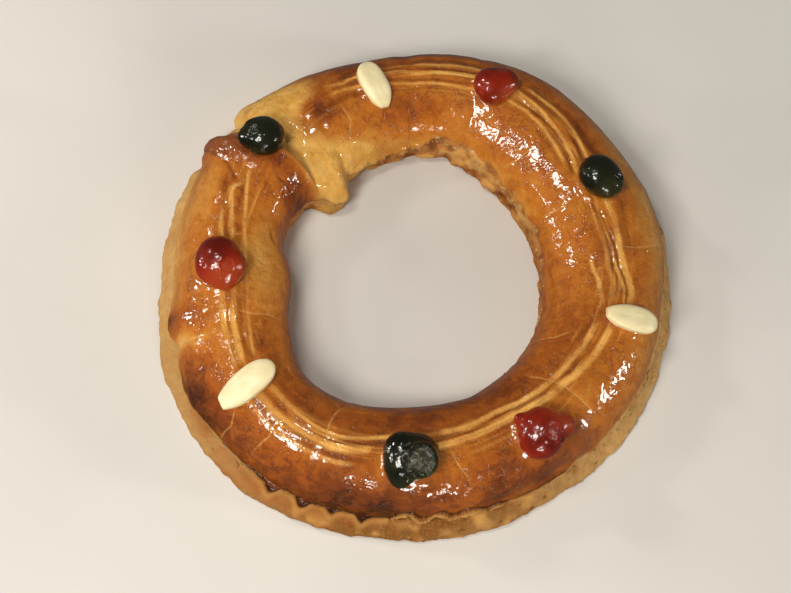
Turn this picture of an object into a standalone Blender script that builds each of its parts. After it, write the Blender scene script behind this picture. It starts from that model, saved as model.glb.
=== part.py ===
"""A Christmas wreath pastry: a ring of baked dough whose two ends lap, with cherries and almonds on top.

The ring lies on its flat base in the plane z = 0, with the origin under the middle of its box.
Sizes below are in millimetres and degrees. Angles run counter-clockwise from +X, seen from above.
"""

import math

import bpy
import numpy as np
from mathutils import Matrix, Vector
from mathutils.bvhtree import BVHTree

MM = 0.001
COLLECTION = "christmas_wreath_pastry"

# The roll of dough. One row every STATION_STEP degrees from +X:
# inner radius, radius of the crown, outer radius, height of the crown.
STATION_STEP = 20.0
STATIONS = (
    (53.5, 81.5, 115.0, 35.0),
    (55.0, 83.0, 118.0, 35.0),
    (57.5, 87.5, 117.5, 34.5),
    (60.5, 91.5, 117.5, 34.0),
    (65.5, 91.5, 116.0, 33.0),
    (62.5, 90.5, 112.0, 32.0),
    (60.0, 89.5, 115.0, 33.0),
    (62.0, 88.0, 115.0, 35.0),
    (64.0, 87.0, 114.5, 35.0),
    (58.5, 87.0, 114.5, 35.0),
    (63.5, 89.5, 119.0, 35.0),
    (68.5, 92.5, 120.0, 35.0),
    (64.5, 90.5, 118.0, 35.0),
    (58.5, 84.0, 113.0, 35.0),
    (56.0, 78.0, 111.0, 35.0),
    (54.0, 75.5, 109.0, 35.0),
    (53.5, 75.0, 111.0, 35.0),
    (54.0, 78.0, 112.5, 35.0),
)

# The section: a pale foot that spreads on the floor, the browned dome above it, an upright inner wall.
FOOT_REACH = 7.0
FOOT_SWING = 1.8
FOOT_WIDEST = 260.0
FOOT_ROUND = 2.2
FOOT_TOP = 7.5
CRUST_EDGE = 8.5
CRUST_BULGE = 0.8
OUTER_FULLNESS = 2.15
INNER_FULLNESS = 2.35
INNER_WALL = 9.0
INNER_UNDERCUT = 2.5
# Share of the foot that is its lower corner.
FOOT_CORNER = 0.33

# Fork lines drawn along the crown.
GROOVE_SPACING = 5.4
GROOVES = (-GROOVE_SPACING, 0.0, GROOVE_SPACING)
GROOVE_DEPTH = 0.9
GROOVE_HALF_WIDTH = 1.35
GROOVES_END_AT = 108.0
GROOVES_START_AT = 152.0
GROOVES_FADE = 12.0

# The joint. The end that comes up the -X side lies on the flattened tongue of the other end.
LAP_ANGLE = 142.0
LAP_BULGE = -4.0
LAP_BULGE_AT = -0.4
LAP_BULGE_WIDTH = 0.35
LAP_BULGE_REACH = 14.0
LAP_STEP = 6.5
LAP_EDGE = 1.1
TONGUE_FLATTENED = 26.0
# Local changes of a radius near the joint: angle, reach, half-width in degrees.
INNER_LOBE = (134.0, -10.0, 8.0)
TONGUE_CORNER = (130.5, 1.6, 4.0)
OUTER_NOTCH = (136.8, -6.0, 1.8)
FLAP_CORNER = (143.0, -0.8, 3.0)
FLAP_NOTCH = (148.0, -2.0, 2.0)

# The mesh of the ring: columns round it, closer together at the joint, and rows round the section.
COLUMNS = 120
COLUMNS_AT_JOINT = 3.0
COLUMNS_JOINT_REACH = 9.0
ANGLE_STEPS = 3600
# Rows from the outer foot over the crown to the floor: how far along each stretch from 0 to 1,
# and on the crown how far out from its middle.
FOOT_ROWS = (0.0, FOOT_CORNER, 0.66, 0.85, 1.0)
OUTER_ROWS = (0.08, 0.22, 0.36, 0.50, 0.64)
CROWN_ROWS = tuple(GROOVE_SPACING * half / 2 for half in (3, 2, 1, 0, -1, -2, -3))
INNER_ROWS = (0.60, 0.46, 0.30, 0.15, 0.0)
WALL_ROWS = (0.5, 0.8, 1.0)
FLOOR_ROWS = (0.2, 0.4, 0.6, 0.8)

# The toppings, each pressed onto the crust.
TOUCHING_GAP = 0.3
PRESS_SPREAD = 1.8
ABOVE_ALL = 100.0
SEAT_PLACES = 12
SEAT_REACH = 0.7
CHERRY_SEGMENTS = 16
CHERRY_RINGS = 10
CHERRY_SUNK = 0.45
DIMPLE_OUT = 0.45
DIMPLE_WIDTH = 0.45
ALMOND_SEGMENTS = 12
ALMOND_RINGS = 8
ALMOND_FULLNESS = 2.6
ALMOND_TAPER = 0.45
ALMOND_TAPER_POWER = 1.5
ALMOND_RAISED = 0.2
POLE = 1e-6

# name: angle, radius, length, width, height over the crust, turn from radial, dimple angle, dimple depth
CHERRIES = {
    "cherry_red_top": (68.0, 91.0, 19.0, 17.0, 11.5, 112.0, 0.0, 0.6),
    "cherry_green_right": (27.0, 87.0, 20.5, 19.0, 12.5, 50.0, 300.0, 0.6),
    "cherry_red_lower": (300.5, 85.5, 27.0, 22.0, 12.0, 70.0, 110.0, 1.5),
    "cherry_green_bottom": (262.0, 87.5, 25.0, 21.5, 12.5, 8.0, 310.0, 2.6),
    "cherry_red_left": (180.0, 89.5, 20.5, 21.5, 12.5, 0.0, 320.0, 1.5),
    "cherry_green_joint": (141.5, 92.0, 20.0, 17.5, 12.5, 240.0, 200.0, 0.8),
}
# name: angle, radius, length, width, thickness, direction of the pointed end
ALMONDS = {
    "almond_top": (103.0, 88.0, 23.5, 12.0, 7.0, 289.0),
    "almond_right": (344.5, 89.0, 27.0, 11.5, 7.0, 166.0),
    "almond_left": (213.5, 96.5, 30.5, 12.5, 7.5, 213.0),
}

# Surface finishes: base colour, roughness, metallic.
FINISHES = {
    "baked_dough": ((0.62, 0.25, 0.055), 0.35, 0.0),
    "red_cherry": ((0.33, 0.02, 0.012), 0.12, 0.0),
    "green_cherry": ((0.012, 0.03, 0.012), 0.12, 0.0),
    "almond": ((0.80, 0.70, 0.40), 0.45, 0.0),
}


def bump(angle, feature, squareness=2):
    """A smooth local rise at one angle: feature is its angle, its reach and its half-width."""
    middle, reach, half_width = feature
    away = (angle - middle + 180.0) % 360.0 - 180.0
    return reach * np.exp(-(np.abs(away / half_width) ** squareness))


def station(column, angle):
    """One column of STATIONS at any angle, by a smooth curve through the rows that closes on itself."""
    values = np.array([row[column] for row in STATIONS])
    place = (angle / STATION_STEP) % len(values)
    first = np.floor(place).astype(int)
    t = place - first
    before, here, after, beyond = (values[(first + k) % len(values)] for k in (-1, 0, 1, 2))
    slope_here = (after - before) / 2
    slope_after = (beyond - here) / 2
    return (
        (2 * t**3 - 3 * t**2 + 1) * here
        + (t**3 - 2 * t**2 + t) * slope_here
        + (3 * t**2 - 2 * t**3) * after
        + (t**3 - t**2) * slope_after
    )


def smooth_step(value, low, high):
    t = np.clip((value - low) / (high - low), 0.0, 1.0)
    return t * t * (3 - 2 * t)


def from_lap(angle):
    """Degrees from the lapping edge, positive on the end that lies on top."""
    return (angle - LAP_ANGLE + 180.0) % 360.0 - 180.0


def ring_sizes(angle):
    """Inner, crown and outer radius, crown height and reach of the foot at each angle."""
    inner = station(0, angle) + bump(angle, INNER_LOBE, squareness=4)
    crown = station(1, angle)
    outer = station(2, angle)
    for feature in (TONGUE_CORNER, OUTER_NOTCH, FLAP_CORNER, FLAP_NOTCH):
        outer = outer + bump(angle, feature)
    away = from_lap(angle)
    flattened = np.where(away < 0, smooth_step(away, -TONGUE_FLATTENED, -LAP_EDGE), 1.0)
    dropped = flattened * (1.0 - smooth_step(away, -LAP_EDGE, LAP_EDGE))
    height = station(3, angle) - LAP_STEP * dropped
    foot = FOOT_REACH + FOOT_SWING * np.cos(np.radians(angle - FOOT_WIDEST))
    return inner, crown, outer, height, foot


def groove_cut(across, angle):
    """Depth of the fork lines at a distance across the crown."""
    depth = np.zeros_like(across + angle)
    for middle in GROOVES:
        depth = depth + np.exp(-(((across - middle) / GROOVE_HALF_WIDTH) ** 2))
    fade = 1.0 - smooth_step(angle, GROOVES_END_AT - GROOVES_FADE, GROOVES_END_AT)
    fade = fade + smooth_step(angle, GROOVES_START_AT, GROOVES_START_AT + GROOVES_FADE)
    return GROOVE_DEPTH * depth * fade


def rows_of_section():
    """Places round the section, each a stretch and how far along it, from the floor at the outer foot."""
    rows = [("foot", t) for t in FOOT_ROWS]
    rows += [("outer", t) for t in OUTER_ROWS]
    rows += [("crown", across) for across in CROWN_ROWS]
    rows += [("inner", t) for t in INNER_ROWS]
    rows += [("wall", t) for t in WALL_ROWS]
    rows += [("floor", t) for t in FLOOR_ROWS]
    return rows


def dome(reach, base, height, fullness, turn):
    """Radius from the crown and height on one side of the dome, turn going from 0 at its base to 90."""
    power = 2.0 / fullness
    across = reach * np.cos(np.radians(turn)) ** power
    up = base + (height - base) * np.sin(np.radians(turn)) ** power
    return across, up


def dome_at(across, reach, base, height, fullness):
    """Height of the dome at a distance from the crown."""
    part = np.clip(1.0 - (np.abs(across) / reach) ** fullness, 0.0, 1.0)
    return base + (height - base) * part ** (1.0 / fullness)


def section_point(stretch, t, sizes, angle, grooved):
    """Radius and height of one place of the section."""
    inner, crown, outer, height, foot = sizes
    edge = outer - foot + CRUST_BULGE
    if stretch == "foot":
        if t <= FOOT_CORNER:
            turn = math.radians(90.0 * t / FOOT_CORNER)
            up = FOOT_ROUND * (1 - math.cos(turn))
            return outer - FOOT_ROUND * (1 - math.sin(turn)), np.full_like(outer, up)
        turn = math.radians(90.0 * (t - FOOT_CORNER) / (1.0 - FOOT_CORNER))
        up = FOOT_ROUND + (FOOT_TOP - FOOT_ROUND) * math.sin(turn)
        return outer - foot * (1 - math.cos(turn)), np.full_like(outer, up)
    if stretch == "outer":
        across, up = dome(edge - crown, CRUST_EDGE, height, OUTER_FULLNESS, 90.0 * t)
        return crown + across, up
    if stretch == "crown":
        reach = edge - crown if t > 0 else crown - inner
        base = CRUST_EDGE if t > 0 else INNER_WALL
        fullness = OUTER_FULLNESS if t > 0 else INNER_FULLNESS
        up = dome_at(t, reach, base, height, fullness)
        cut = groove_cut(np.full_like(angle, t), angle) if grooved else 0.0
        return crown + t, up - cut
    if stretch == "inner":
        across, up = dome(crown - inner, INNER_WALL, height, INNER_FULLNESS, 90.0 * t)
        return crown - across, up
    if stretch == "wall":
        turn = math.radians(90.0 * t)
        up = INNER_WALL * (1 - math.sin(turn))
        return inner + INNER_UNDERCUT * (1 - math.cos(turn)), np.full_like(inner, up)
    low, high = inner + INNER_UNDERCUT, outer - FOOT_ROUND
    return low + (high - low) * t, np.zeros_like(low)


def column_angles(count):
    """Angles of the columns, closer together round the joint."""
    fine = np.linspace(0.0, 360.0, ANGLE_STEPS + 1)
    density = 1.0 + COLUMNS_AT_JOINT * np.exp(-((from_lap(fine) / COLUMNS_JOINT_REACH) ** 2))
    spent = np.concatenate([[0.0], np.cumsum((density[1:] + density[:-1]) / 2)])
    return np.interp(np.linspace(0.0, spent[-1], count, endpoint=False), spent, fine)


def leaning(angle, radius, sizes):
    """Real angle of a point: near the joint the columns bend, so that they follow the lapping edge."""
    inner, outer = sizes[0], sizes[2]
    side = 2.0 * (radius - inner) / (outer - inner) - 1.0
    bulge = LAP_BULGE * np.exp(-(((side - LAP_BULGE_AT) / LAP_BULGE_WIDTH) ** 2))
    return angle + bulge * np.exp(-((from_lap(angle) / LAP_BULGE_REACH) ** 2))


def ring_points(count, grooved=True):
    """Points of the ring's surface, column by column, in millimetres."""
    angle = column_angles(count)
    sizes = ring_sizes(angle)
    rows = rows_of_section()
    points = np.empty((count, len(rows), 3))
    for row, (stretch, t) in enumerate(rows):
        radius, up = section_point(stretch, t, sizes, angle, grooved)
        real = np.radians(leaning(angle, radius, sizes))
        points[:, row, 0] = radius * np.cos(real)
        points[:, row, 1] = radius * np.sin(real)
        points[:, row, 2] = up
    return points


def middle_of(points):
    """Middle of the ring's box, in plan."""
    flat = points.reshape(-1, 3)
    middle = (flat.min(axis=0) + flat.max(axis=0)) / 2
    middle[2] = 0.0
    return middle


def finish(name):
    """The material of one finish."""
    material = bpy.data.materials.new(name)
    material.use_nodes = True
    shader = material.node_tree.nodes["Principled BSDF"]
    colour, roughness, metallic = FINISHES[name]
    shader.inputs["Base Color"].default_value = (*colour, 1.0)
    shader.inputs["Roughness"].default_value = roughness
    shader.inputs["Metallic"].default_value = metallic
    material.diffuse_color = (*colour, 1.0)
    return material


def adopt(obj, name, material, collection):
    """Names a new object, gives it its finish, shades it smooth and moves it to the collection."""
    obj.name = name
    obj.data.name = name
    obj.data.materials.clear()
    obj.data.materials.append(material)
    obj.data.shade_smooth()
    for other in list(obj.users_collection):
        other.objects.unlink(obj)
    collection.objects.link(obj)
    return obj


def make_ring(points, name, material, collection):
    """The ring: a torus whose points are moved onto the roll's surface."""
    columns, rows = points.shape[:2]
    bpy.ops.mesh.primitive_torus_add(major_segments=columns, minor_segments=rows)
    ring = bpy.context.object
    ring.data.vertices.foreach_set("co", (points * MM).ravel())
    ring.data.update()
    return adopt(ring, name, material, collection)


def tree_of(points):
    """A search tree on the ring's surface, in metres."""
    columns, rows = points.shape[:2]
    corners = []
    for column in range(columns):
        after = (column + 1) % columns
        for row in range(rows):
            above = (row + 1) % rows
            corners.append(
                (column * rows + row, after * rows + row, after * rows + above, column * rows + above)
            )
    return BVHTree.FromPolygons([Vector(p) for p in (points * MM).reshape(-1, 3)], corners)


def around(radius, angle):
    """A point in plan at a radius and an angle."""
    return Vector((radius * math.cos(math.radians(angle)), radius * math.sin(math.radians(angle)), 0.0))


def seat(tree, angle, radius, reach, middle):
    """Where a topping sits: the point on the crust, and the direction that faces off the crust round it."""
    down = Vector((0, 0, -1))
    above = (around(radius, angle) - Vector(middle) + Vector((0, 0, ABOVE_ALL))) * MM
    point = tree.ray_cast(above, down)[0]
    normal = Vector((0, 0, 0))
    spokes = []
    for place in range(SEAT_PLACES):
        beside = around(reach * SEAT_REACH, 360.0 * place / SEAT_PLACES) * MM
        spokes.append(tree.ray_cast(above + beside, down)[0] - point)
    for spoke, following in zip(spokes, spokes[1:] + spokes[:1]):
        normal += spoke.cross(following)
    return point, normal.normalized()


def frame_at(point, normal, direction):
    """A matrix with its origin on the crust, Z along the normal and X towards a direction in plan."""
    turn = math.radians(direction)
    along = Vector((math.cos(turn), math.sin(turn), 0.0))
    along = (along - normal * along.dot(normal)).normalized()
    across = normal.cross(along)
    turned = Matrix((along, across, normal)).transposed()
    return Matrix.Translation(point) @ turned.to_4x4()


def crust_height(tree, frame, x, y):
    """Height of the crust over the seat's plane, the highest of a few places round one point."""
    turned = frame.to_3x3()
    up = turned @ Vector((0, 0, 1))
    heights = []
    for dx, dy in ((0, 0), (1, 0), (-1, 0), (0, 1), (0, -1)):
        spread = PRESS_SPREAD * MM
        start = frame @ Vector((x + dx * spread, y + dy * spread, ABOVE_ALL * MM))
        hit = tree.ray_cast(start, -up)[0]
        if hit is not None:
            heights.append((frame.inverted() @ hit).z)
    return max(heights)


def press_onto(obj, tree, frame):
    """Lifts the points of a topping that are inside the crust to just above it."""
    for vertex in obj.data.vertices:
        lowest = crust_height(tree, frame, vertex.co.x, vertex.co.y) + TOUCHING_GAP * MM
        vertex.co.z = max(vertex.co.z, lowest)
    obj.matrix_world = frame


def make_cherry(name, row, tree, middle, material, collection):
    """A candied cherry: a soft ball, a little flattened, with a shallow dimple."""
    angle, radius, length, width, height, turned, dimple_at, dimple = row
    bpy.ops.mesh.primitive_uv_sphere_add(segments=CHERRY_SEGMENTS, ring_count=CHERRY_RINGS, radius=1.0)
    cherry = adopt(bpy.context.object, name, material, collection)
    sunk = height * CHERRY_SUNK
    turn = math.radians(dimple_at)
    top = math.sqrt(1.0 - DIMPLE_OUT**2)
    spot = Vector((math.cos(turn) * DIMPLE_OUT, math.sin(turn) * DIMPLE_OUT, top))
    for vertex in cherry.data.vertices:
        unit = vertex.co.copy()
        close = math.exp(-(((unit - spot).length / DIMPLE_WIDTH) ** 2))
        shape = Vector((unit.x * length / 2, unit.y * width / 2, unit.z * (height - sunk)))
        shape *= 1.0 - close * dimple / height
        shape.z += sunk
        vertex.co = shape * MM
    point, normal = seat(tree, angle, radius, width / 2, middle)
    press_onto(cherry, tree, frame_at(point, normal, angle + turned))
    return cherry


def almond_girth(along):
    """Half-width of an almond against its widest, along going from -1 at its round end to 1 at its point."""
    full = (1.0 - min(abs(along), 1.0) ** ALMOND_FULLNESS) ** 0.5
    return full * (1.0 - ALMOND_TAPER * max(along, 0.0) ** ALMOND_TAPER_POWER)


def make_almond(name, row, tree, middle, material, collection):
    """A blanched almond: flat, round at one end and drawn to a point at the other."""
    angle, radius, length, width, thickness, pointing = row
    bpy.ops.mesh.primitive_uv_sphere_add(segments=ALMOND_SEGMENTS, ring_count=ALMOND_RINGS, radius=1.0)
    almond = adopt(bpy.context.object, name, material, collection)
    for vertex in almond.data.vertices:
        along, side, up = vertex.co.z, vertex.co.x, vertex.co.y
        girth = almond_girth(along) / max(math.hypot(side, up), POLE)
        shape = Vector((along * length, side * girth * width, up * girth * thickness)) / 2
        shape.z += thickness * ALMOND_RAISED
        vertex.co = shape * MM
    point, normal = seat(tree, angle, radius, width / 2, middle)
    press_onto(almond, tree, frame_at(point, normal, pointing))
    return almond


def clear_scene():
    for obj in list(bpy.data.objects):
        bpy.data.objects.remove(obj, do_unlink=True)


def main():
    clear_scene()
    collection = bpy.data.collections.new(COLLECTION)
    bpy.context.scene.collection.children.link(collection)
    finishes = {name: finish(name) for name in FINISHES}

    points = ring_points(COLUMNS)
    middle = middle_of(points)
    make_ring(points - middle, "pastry_ring", finishes["baked_dough"], collection)
    tree = tree_of(ring_points(COLUMNS, grooved=False) - middle)

    for name, row in CHERRIES.items():
        colour = "red_cherry" if "_red_" in name else "green_cherry"
        make_cherry(name, row, tree, middle, finishes[colour], collection)
    for name, row in ALMONDS.items():
        make_almond(name, row, tree, middle, finishes["almond"], collection)


main()
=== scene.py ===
"""Looks of the Christmas wreath pastry, built round its CAD frame.

The ring of dough is remade as one fine surface on the CAD ring's own sizes, with fork lines, cracks, a
browned and glazed crust, a pale flaky foot and the lapped joint. The candied cherries and the almonds are
remade where the CAD has them. Sizes are in millimetres and degrees unless a name says otherwise; angles
run counter-clockwise from +X, seen from above.
"""

import itertools
import math

import bpy
import numpy as np
from mathutils import Matrix, Vector
from mathutils.bvhtree import BVHTree


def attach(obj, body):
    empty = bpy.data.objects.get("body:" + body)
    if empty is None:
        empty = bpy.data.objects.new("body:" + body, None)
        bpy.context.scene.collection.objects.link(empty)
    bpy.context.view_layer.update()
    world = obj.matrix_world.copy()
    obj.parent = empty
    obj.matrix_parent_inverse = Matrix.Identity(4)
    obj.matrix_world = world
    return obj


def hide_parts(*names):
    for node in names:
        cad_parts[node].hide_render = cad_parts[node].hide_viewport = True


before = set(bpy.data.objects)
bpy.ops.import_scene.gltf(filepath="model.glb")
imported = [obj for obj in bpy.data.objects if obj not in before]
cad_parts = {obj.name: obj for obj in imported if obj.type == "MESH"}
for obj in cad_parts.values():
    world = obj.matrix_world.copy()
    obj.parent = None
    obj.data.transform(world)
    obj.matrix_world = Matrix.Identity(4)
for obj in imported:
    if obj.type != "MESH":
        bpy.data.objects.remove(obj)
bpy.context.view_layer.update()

MM = 0.001

# ---------------------------------------------------------------- the camera, as the wreath was seen
VIEW_FROM = (-0.17, -0.37, 1.0)
VIEW_DISTANCE = 900.0
VIEW_HEIGHT = 15.0
VIEW_AIM = (-12.9, -8.1, 15.0)
LENS = 93.6

# ---------------------------------------------------------------- the CAD ring's sizes
STATION_STEP = 20.0
STATIONS = (
    (53.5, 81.5, 115, 35), (55, 83, 118, 35), (57.5, 87.5, 117.5, 34.5), (60.5, 91.5, 117.5, 34),
    (65.5, 91.5, 116, 33), (62.5, 90.5, 112, 32), (60, 89.5, 115, 33), (62, 88, 115, 35),
    (64, 87, 114.5, 35), (58.5, 87, 114.5, 35), (63.5, 89.5, 119, 35), (68.5, 92.5, 120, 35),
    (64.5, 90.5, 118, 35), (58.5, 84, 113, 35), (56, 78, 111, 35), (54, 75.5, 109, 35), (53.5, 75, 111, 35),
    (54, 78, 112.5, 35),
)
FOOT_REACH = 7.0
FOOT_SWING = 1.8
FOOT_WIDEST = 260.0
FOOT_ROUND = 2.2
FOOT_TOP = 7.5
FOOT_CORNER = 0.33
CRUST_EDGE = 8.5
CRUST_BULGE = 0.8
OUTER_FULLNESS = 2.15
INNER_FULLNESS = 2.35
INNER_WALL = 9.0
INNER_UNDERCUT = 2.5
LAP_ANGLE = 142.0
LAP_BULGE = -4.0
LAP_BULGE_AT = -0.4
LAP_BULGE_WIDTH = 0.35
LAP_BULGE_WIDTH_INSIDE = 1.4
LAP_BULGE_REACH = 14.0
LAP_STEP = 6.5
LAP_EDGE = 0.6
TONGUE_FLATTENED = 26.0
INNER_LOBE = (134.0, -10.0, 8.0)
OUTER_FEATURES = ((130.5, 1.6, 4), (136.8, -6, 1.8), (143, -0.8, 3), (148, -2, 2))

# ---------------------------------------------------------------- the fine surface
COLUMNS = 720
COLUMNS_AT_JOINT = 2.2
COLUMNS_JOINT_REACH = 9.0
ANGLE_STEPS = 3600
# Rows of each stretch of the section, from the outer foot over the crown and back along the floor.
ROWS = {"foot": 16, "outer": 57, "inner": 48, "wall": 12, "floor": 5}
ROWS_AT_CROWN = 1.3
ROWS_CROWN_REACH = 11.0
CURVE_STEPS = 60
ALONG_STEPS = 200
FAR = 1e3
FIELD_LIMIT = 30
TREE_STEP = 2

# Marks of the fork along the crown, as (kind, half-width, strength, points), each point an angle and a
# distance across the crown. In a pale one the glaze was scraped thin; in a dark one it has gathered.
FORK_MARKS = (
    ("pale", 0.8, 0.9, ((163.5, 5.4), (165, 5), (167.5, 4.3), (170, 3.6), (172.3, 2.7))),
    ("pale", 1, 1, ((155.2, 1.6), (156.5, 3.4), (158, 4.2), (160, 3.2), (162.5, 2), (165, 0.8),
         (172, -1.4))),
    ("pale", 0.8, 0.8, ((151, 0.8), (155, -0.6), (158, -2), (160.5, -3.3), (164, -4.6), (172, -6.6),
         (180, -7.6))),
    ("pale", 0.7, 0.6, ((180, -7.6), (187, -7.9), (195, -7), (199, -6.5), (203, -5), (208, -4.2))),
    ("pale", 1.3, 0.8, ((184, 2.2), (190, 2.6), (196, 3.6), (208, 4.6))),
    ("pale", 1.2, 0.9, ((186, -2.5), (191, -2), (194, -1), (200, 0.4), (208, 1.4))),
    ("pale", 0.9, 0.5, ((217, 6.4), (225, 7.3), (229, 7.4), (236, 6.8), (247, 6.4))),
    ("pale", 1.8, 1, ((215, 1.4), (221, 2.2), (225, 2.6), (230, 2), (240, 1.2), (245, 0.6), (250, -0.6))),
    ("pale", 0.9, 0.9, ((216, -4), (226, -4.2), (234, -3.2), (240, -3.5), (244, -4.4), (251, -6.6),
         (256, -7.4))),
    ("pale", 1.5, 1, ((268, -0.4), (280, -0.8), (290, -1.8), (295, -2), (300, -1), (308, 0.6), (312, 1))),
    ("pale", 1.5, 0.9, ((312, 1), (315, 0.6), (320, 2.2), (325, 3), (330, 3.6), (340, 3.8))),
    ("pale", 0.7, 0.4, ((279, 5.6), (285, 5), (294, 4.6))),
    ("pale", 1.1, 0.9, ((270, -6.2), (280, -5.2), (286, -6.5), (290, -6.8), (295, -6.2), (305, -4.2),
         (313, -3.5))),
    ("pale", 1.2, 0.7, ((313, -3.5), (325, -3), (330, -2.4), (340, -3.2))),
    ("pale", 0.9, 0.7, ((346, -3.2), (350, -4.6), (353, -6.2), (356, -7.8), (358, -9.3), (363, -10.8))),
    ("pale", 0.7, 0.9, ((347, 6), (351, 4.9), (353.5, 4), (357, 1.4), (359.5, 0.5), (362, -0.5))),
    ("pale", 1.3, 0.35, ((347, 2), (355, -1), (360, -3.3), (371, -4.6), (380, -5.5))),
    ("pale", 1.4, 0.9, ((347, 9), (352, 8), (355, 6.5), (358, 4.6), (361, 3), (366, 2), (375, 3),
         (384, 1))),
    ("pale", 0.8, 0.85, ((34, 2.9), (37, 3.5), (42, 4.8), (47, 5.6), (52, 6), (60, 6.2))),
    ("pale", 0.8, 0.8, ((33, -4.8), (36, -3.8), (40, -2.5), (44, -1.4), (48, -0.4), (52, 0.5), (57, 1.7),
         (63, 2.4))),
    ("pale", 0.8, 0.75, ((38, -7.6), (43, -6.6), (49, -5), (57, -3.7), (64, -3.6))),
    ("pale", 0.7, 0.8, ((72, 6), (76, 6.6), (79, 6.2), (86, 5.8), (91, 6.4))),
    ("pale", 1.1, 0.95, ((72, 2.5), (80, 2), (90, 1.2), (93, 2.6), (95, 2.8), (101, 2.4))),
    ("pale", 0.7, 0.8, ((70, -3.8), (85, -3.8), (95, -3), (101, -2.6))),
    ("pale", 0.7, 0.7, ((105, 4.2), (110, 4.2), (111, 3), (112.5, 3.6), (114, 4.6), (116.5, 5.8))),
    ("pale", 0.8, 0.8, ((104, -1), (109, -0.6), (111.5, 0.2), (114, 0.8), (116, 0.3))),
    ("dark", 1, 0.5, ((153, 8.6), (155, 7.4), (158, 6.3), (162, 5.2), (165, 3.2))),
    ("dark", 0.7, 0.6, ((165.5, 2.4), (170, 1.1), (172, 0.4))),
    ("dark", 0.9, 0.4, ((155, 0.6), (159, -0.6), (163, -2), (168, -3.2), (173, -4.2))),
    ("dark", 0.5, 0.5, ((187, 0.4), (192, 0.5), (195, 1.2), (200, 2.6), (208, 3.4))),
    ("dark", 0.9, 0.5, ((186, -4.8), (195, -4.5), (200, -2.8), (208, -1.8))),
    ("dark", 1, 0.8, ((216, 4.7), (225, 5.2), (227, 6.2), (232, 5.2), (240, 4.3), (250, 4))),
    ("dark", 0.8, 0.9, ((217, -1.4), (222, -1.6), (227, -1), (231, -1.6), (235, -1), (240, -1.2), (243, -2),
         (255, -5.2))),
    ("dark", 2, 0.5, ((216, -8), (225, -8.4), (233, -8), (236, -7))),
    ("dark", 1.5, 0.35, ((242, -8.6), (250, -10), (256, -10.5))),
    ("dark", 0.7, 0.9, ((268, -3.6), (273, -4.4), (280, -3.2), (284, -3.8), (292, -5.2), (296, -4.8),
         (300, -3.2), (305, -2.1))),
    ("dark", 0.6, 0.8, ((305, -2.1), (308, -1.8), (315, -2.4), (318, -1), (322, -0.4), (331, 0.4))),
    ("dark", 0.7, 0.5, ((286, 1), (290, 0.4), (294, 0))),
    ("dark", 0.9, 0.5, ((262, -9.6), (268, -8), (285, -8.8), (292, -8.4), (298, -7.4), (303, -6.6))),
    ("dark", 1.2, 0.8, ((331, -6.2), (335, -5.7), (339.5, -4.8), (343, -5.2))),
    ("dark", 0.8, 0.5, ((329, 7.4), (332, 7))),
    ("dark", 0.6, 1, ((346, 7.4), (351, 6.2), (354, 5.4), (357, 3.4), (360, 1.4), (366, 0.4), (369, -0.6),
         (380, -2.6))),
    ("dark", 0.7, 0.8, ((353, 3), (356, 1), (359, -0.9), (362, -1.8), (366, -2.6), (373, -3.4), (382, -4))),
    ("dark", 2.4, 0.5, ((362, 7.5), (370, 7), (380, 8))),
    ("dark", 2, 0.8, ((33, 9.5), (38, 8), (48, 8.2), (60, 8.2))),
    ("dark", 1.1, 0.85, ((34, 0.4), (38, 1.6), (41, 2.6), (45, 3.5), (50, 3.9), (62, 4.2))),
    ("dark", 1, 0.85, ((33, -6.8), (38, -5), (42, -3.7), (47, -2.2), (52, -1.4), (62, -0.6))),
    ("dark", 0.8, 0.4, ((38, -9.4), (46, -8), (58, -5.6))),
    ("dark", 1.5, 0.9, ((72, 8.4), (82, 9), (90, 8.6), (101, 7.2))),
    ("dark", 0.8, 0.9, ((71, 4.3), (82, 4), (86, 3.8), (93, 4.6), (101, 4.6))),
    ("dark", 0.8, 0.6, ((73, -0.6), (81, -1.8), (90, -1.6), (94, -0.6), (101, -0.4))),
    ("dark", 0.7, 0.35, ((73, -5.4), (82, -5.6), (101, -5.4))),
    ("dark", 1.3, 0.9, ((105, 7.6), (109, 6.9), (112, 6.1))),
    ("dark", 0.8, 0.9, ((105, 1.6), (110, 2), (112.5, 1.6), (114.5, 2.8))),
    ("dark", 1.3, 0.7, ((105, -3.8), (110, -3), (116, -2.4), (119, -3.2))),
)
FORK_END = 3.0
FORK_SQUARENESS = 3.6
# How many degrees before its first point a mark is still followed, and the crown's radius that slopes use.
FORK_AHEAD = 20.0
MEAN_CROWN = 88.0
PALE_DEPTH = 0.22
DARK_DEPTH = 0.60
# How the marks waver, and other waves of the dough below: size, height, seed.
FORK_WAVER = ((11, 0.35, 41), (3.2, 0.2, 42), (1.5, 0.14, 44))
DOME_WAVES = ((34, 0.85, 1), (15, 0.45, 2))
CRUST_WAVES = ((6, 0.16, 3), (2.6, 0.07, 4))
SCALLOP_WAVES = ((5, 1, 11), (1.7, 1, 12))
LUMP_WAVES = ((7, 1.5, 76), (3.4, 1.1, 77))
FILM_WOBBLE = ((4, 0.28, 63), (1.8, 0.14, 64))
BROWN_WAVES = ((24, 0.10, 31), (7, 0.05, 35))
# Wear of the fork's marks: middle, swing, size, lowest and highest.
FORK_WEAR = (0.8, 0.5, 9.0, 0.25, 1.15)

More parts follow.
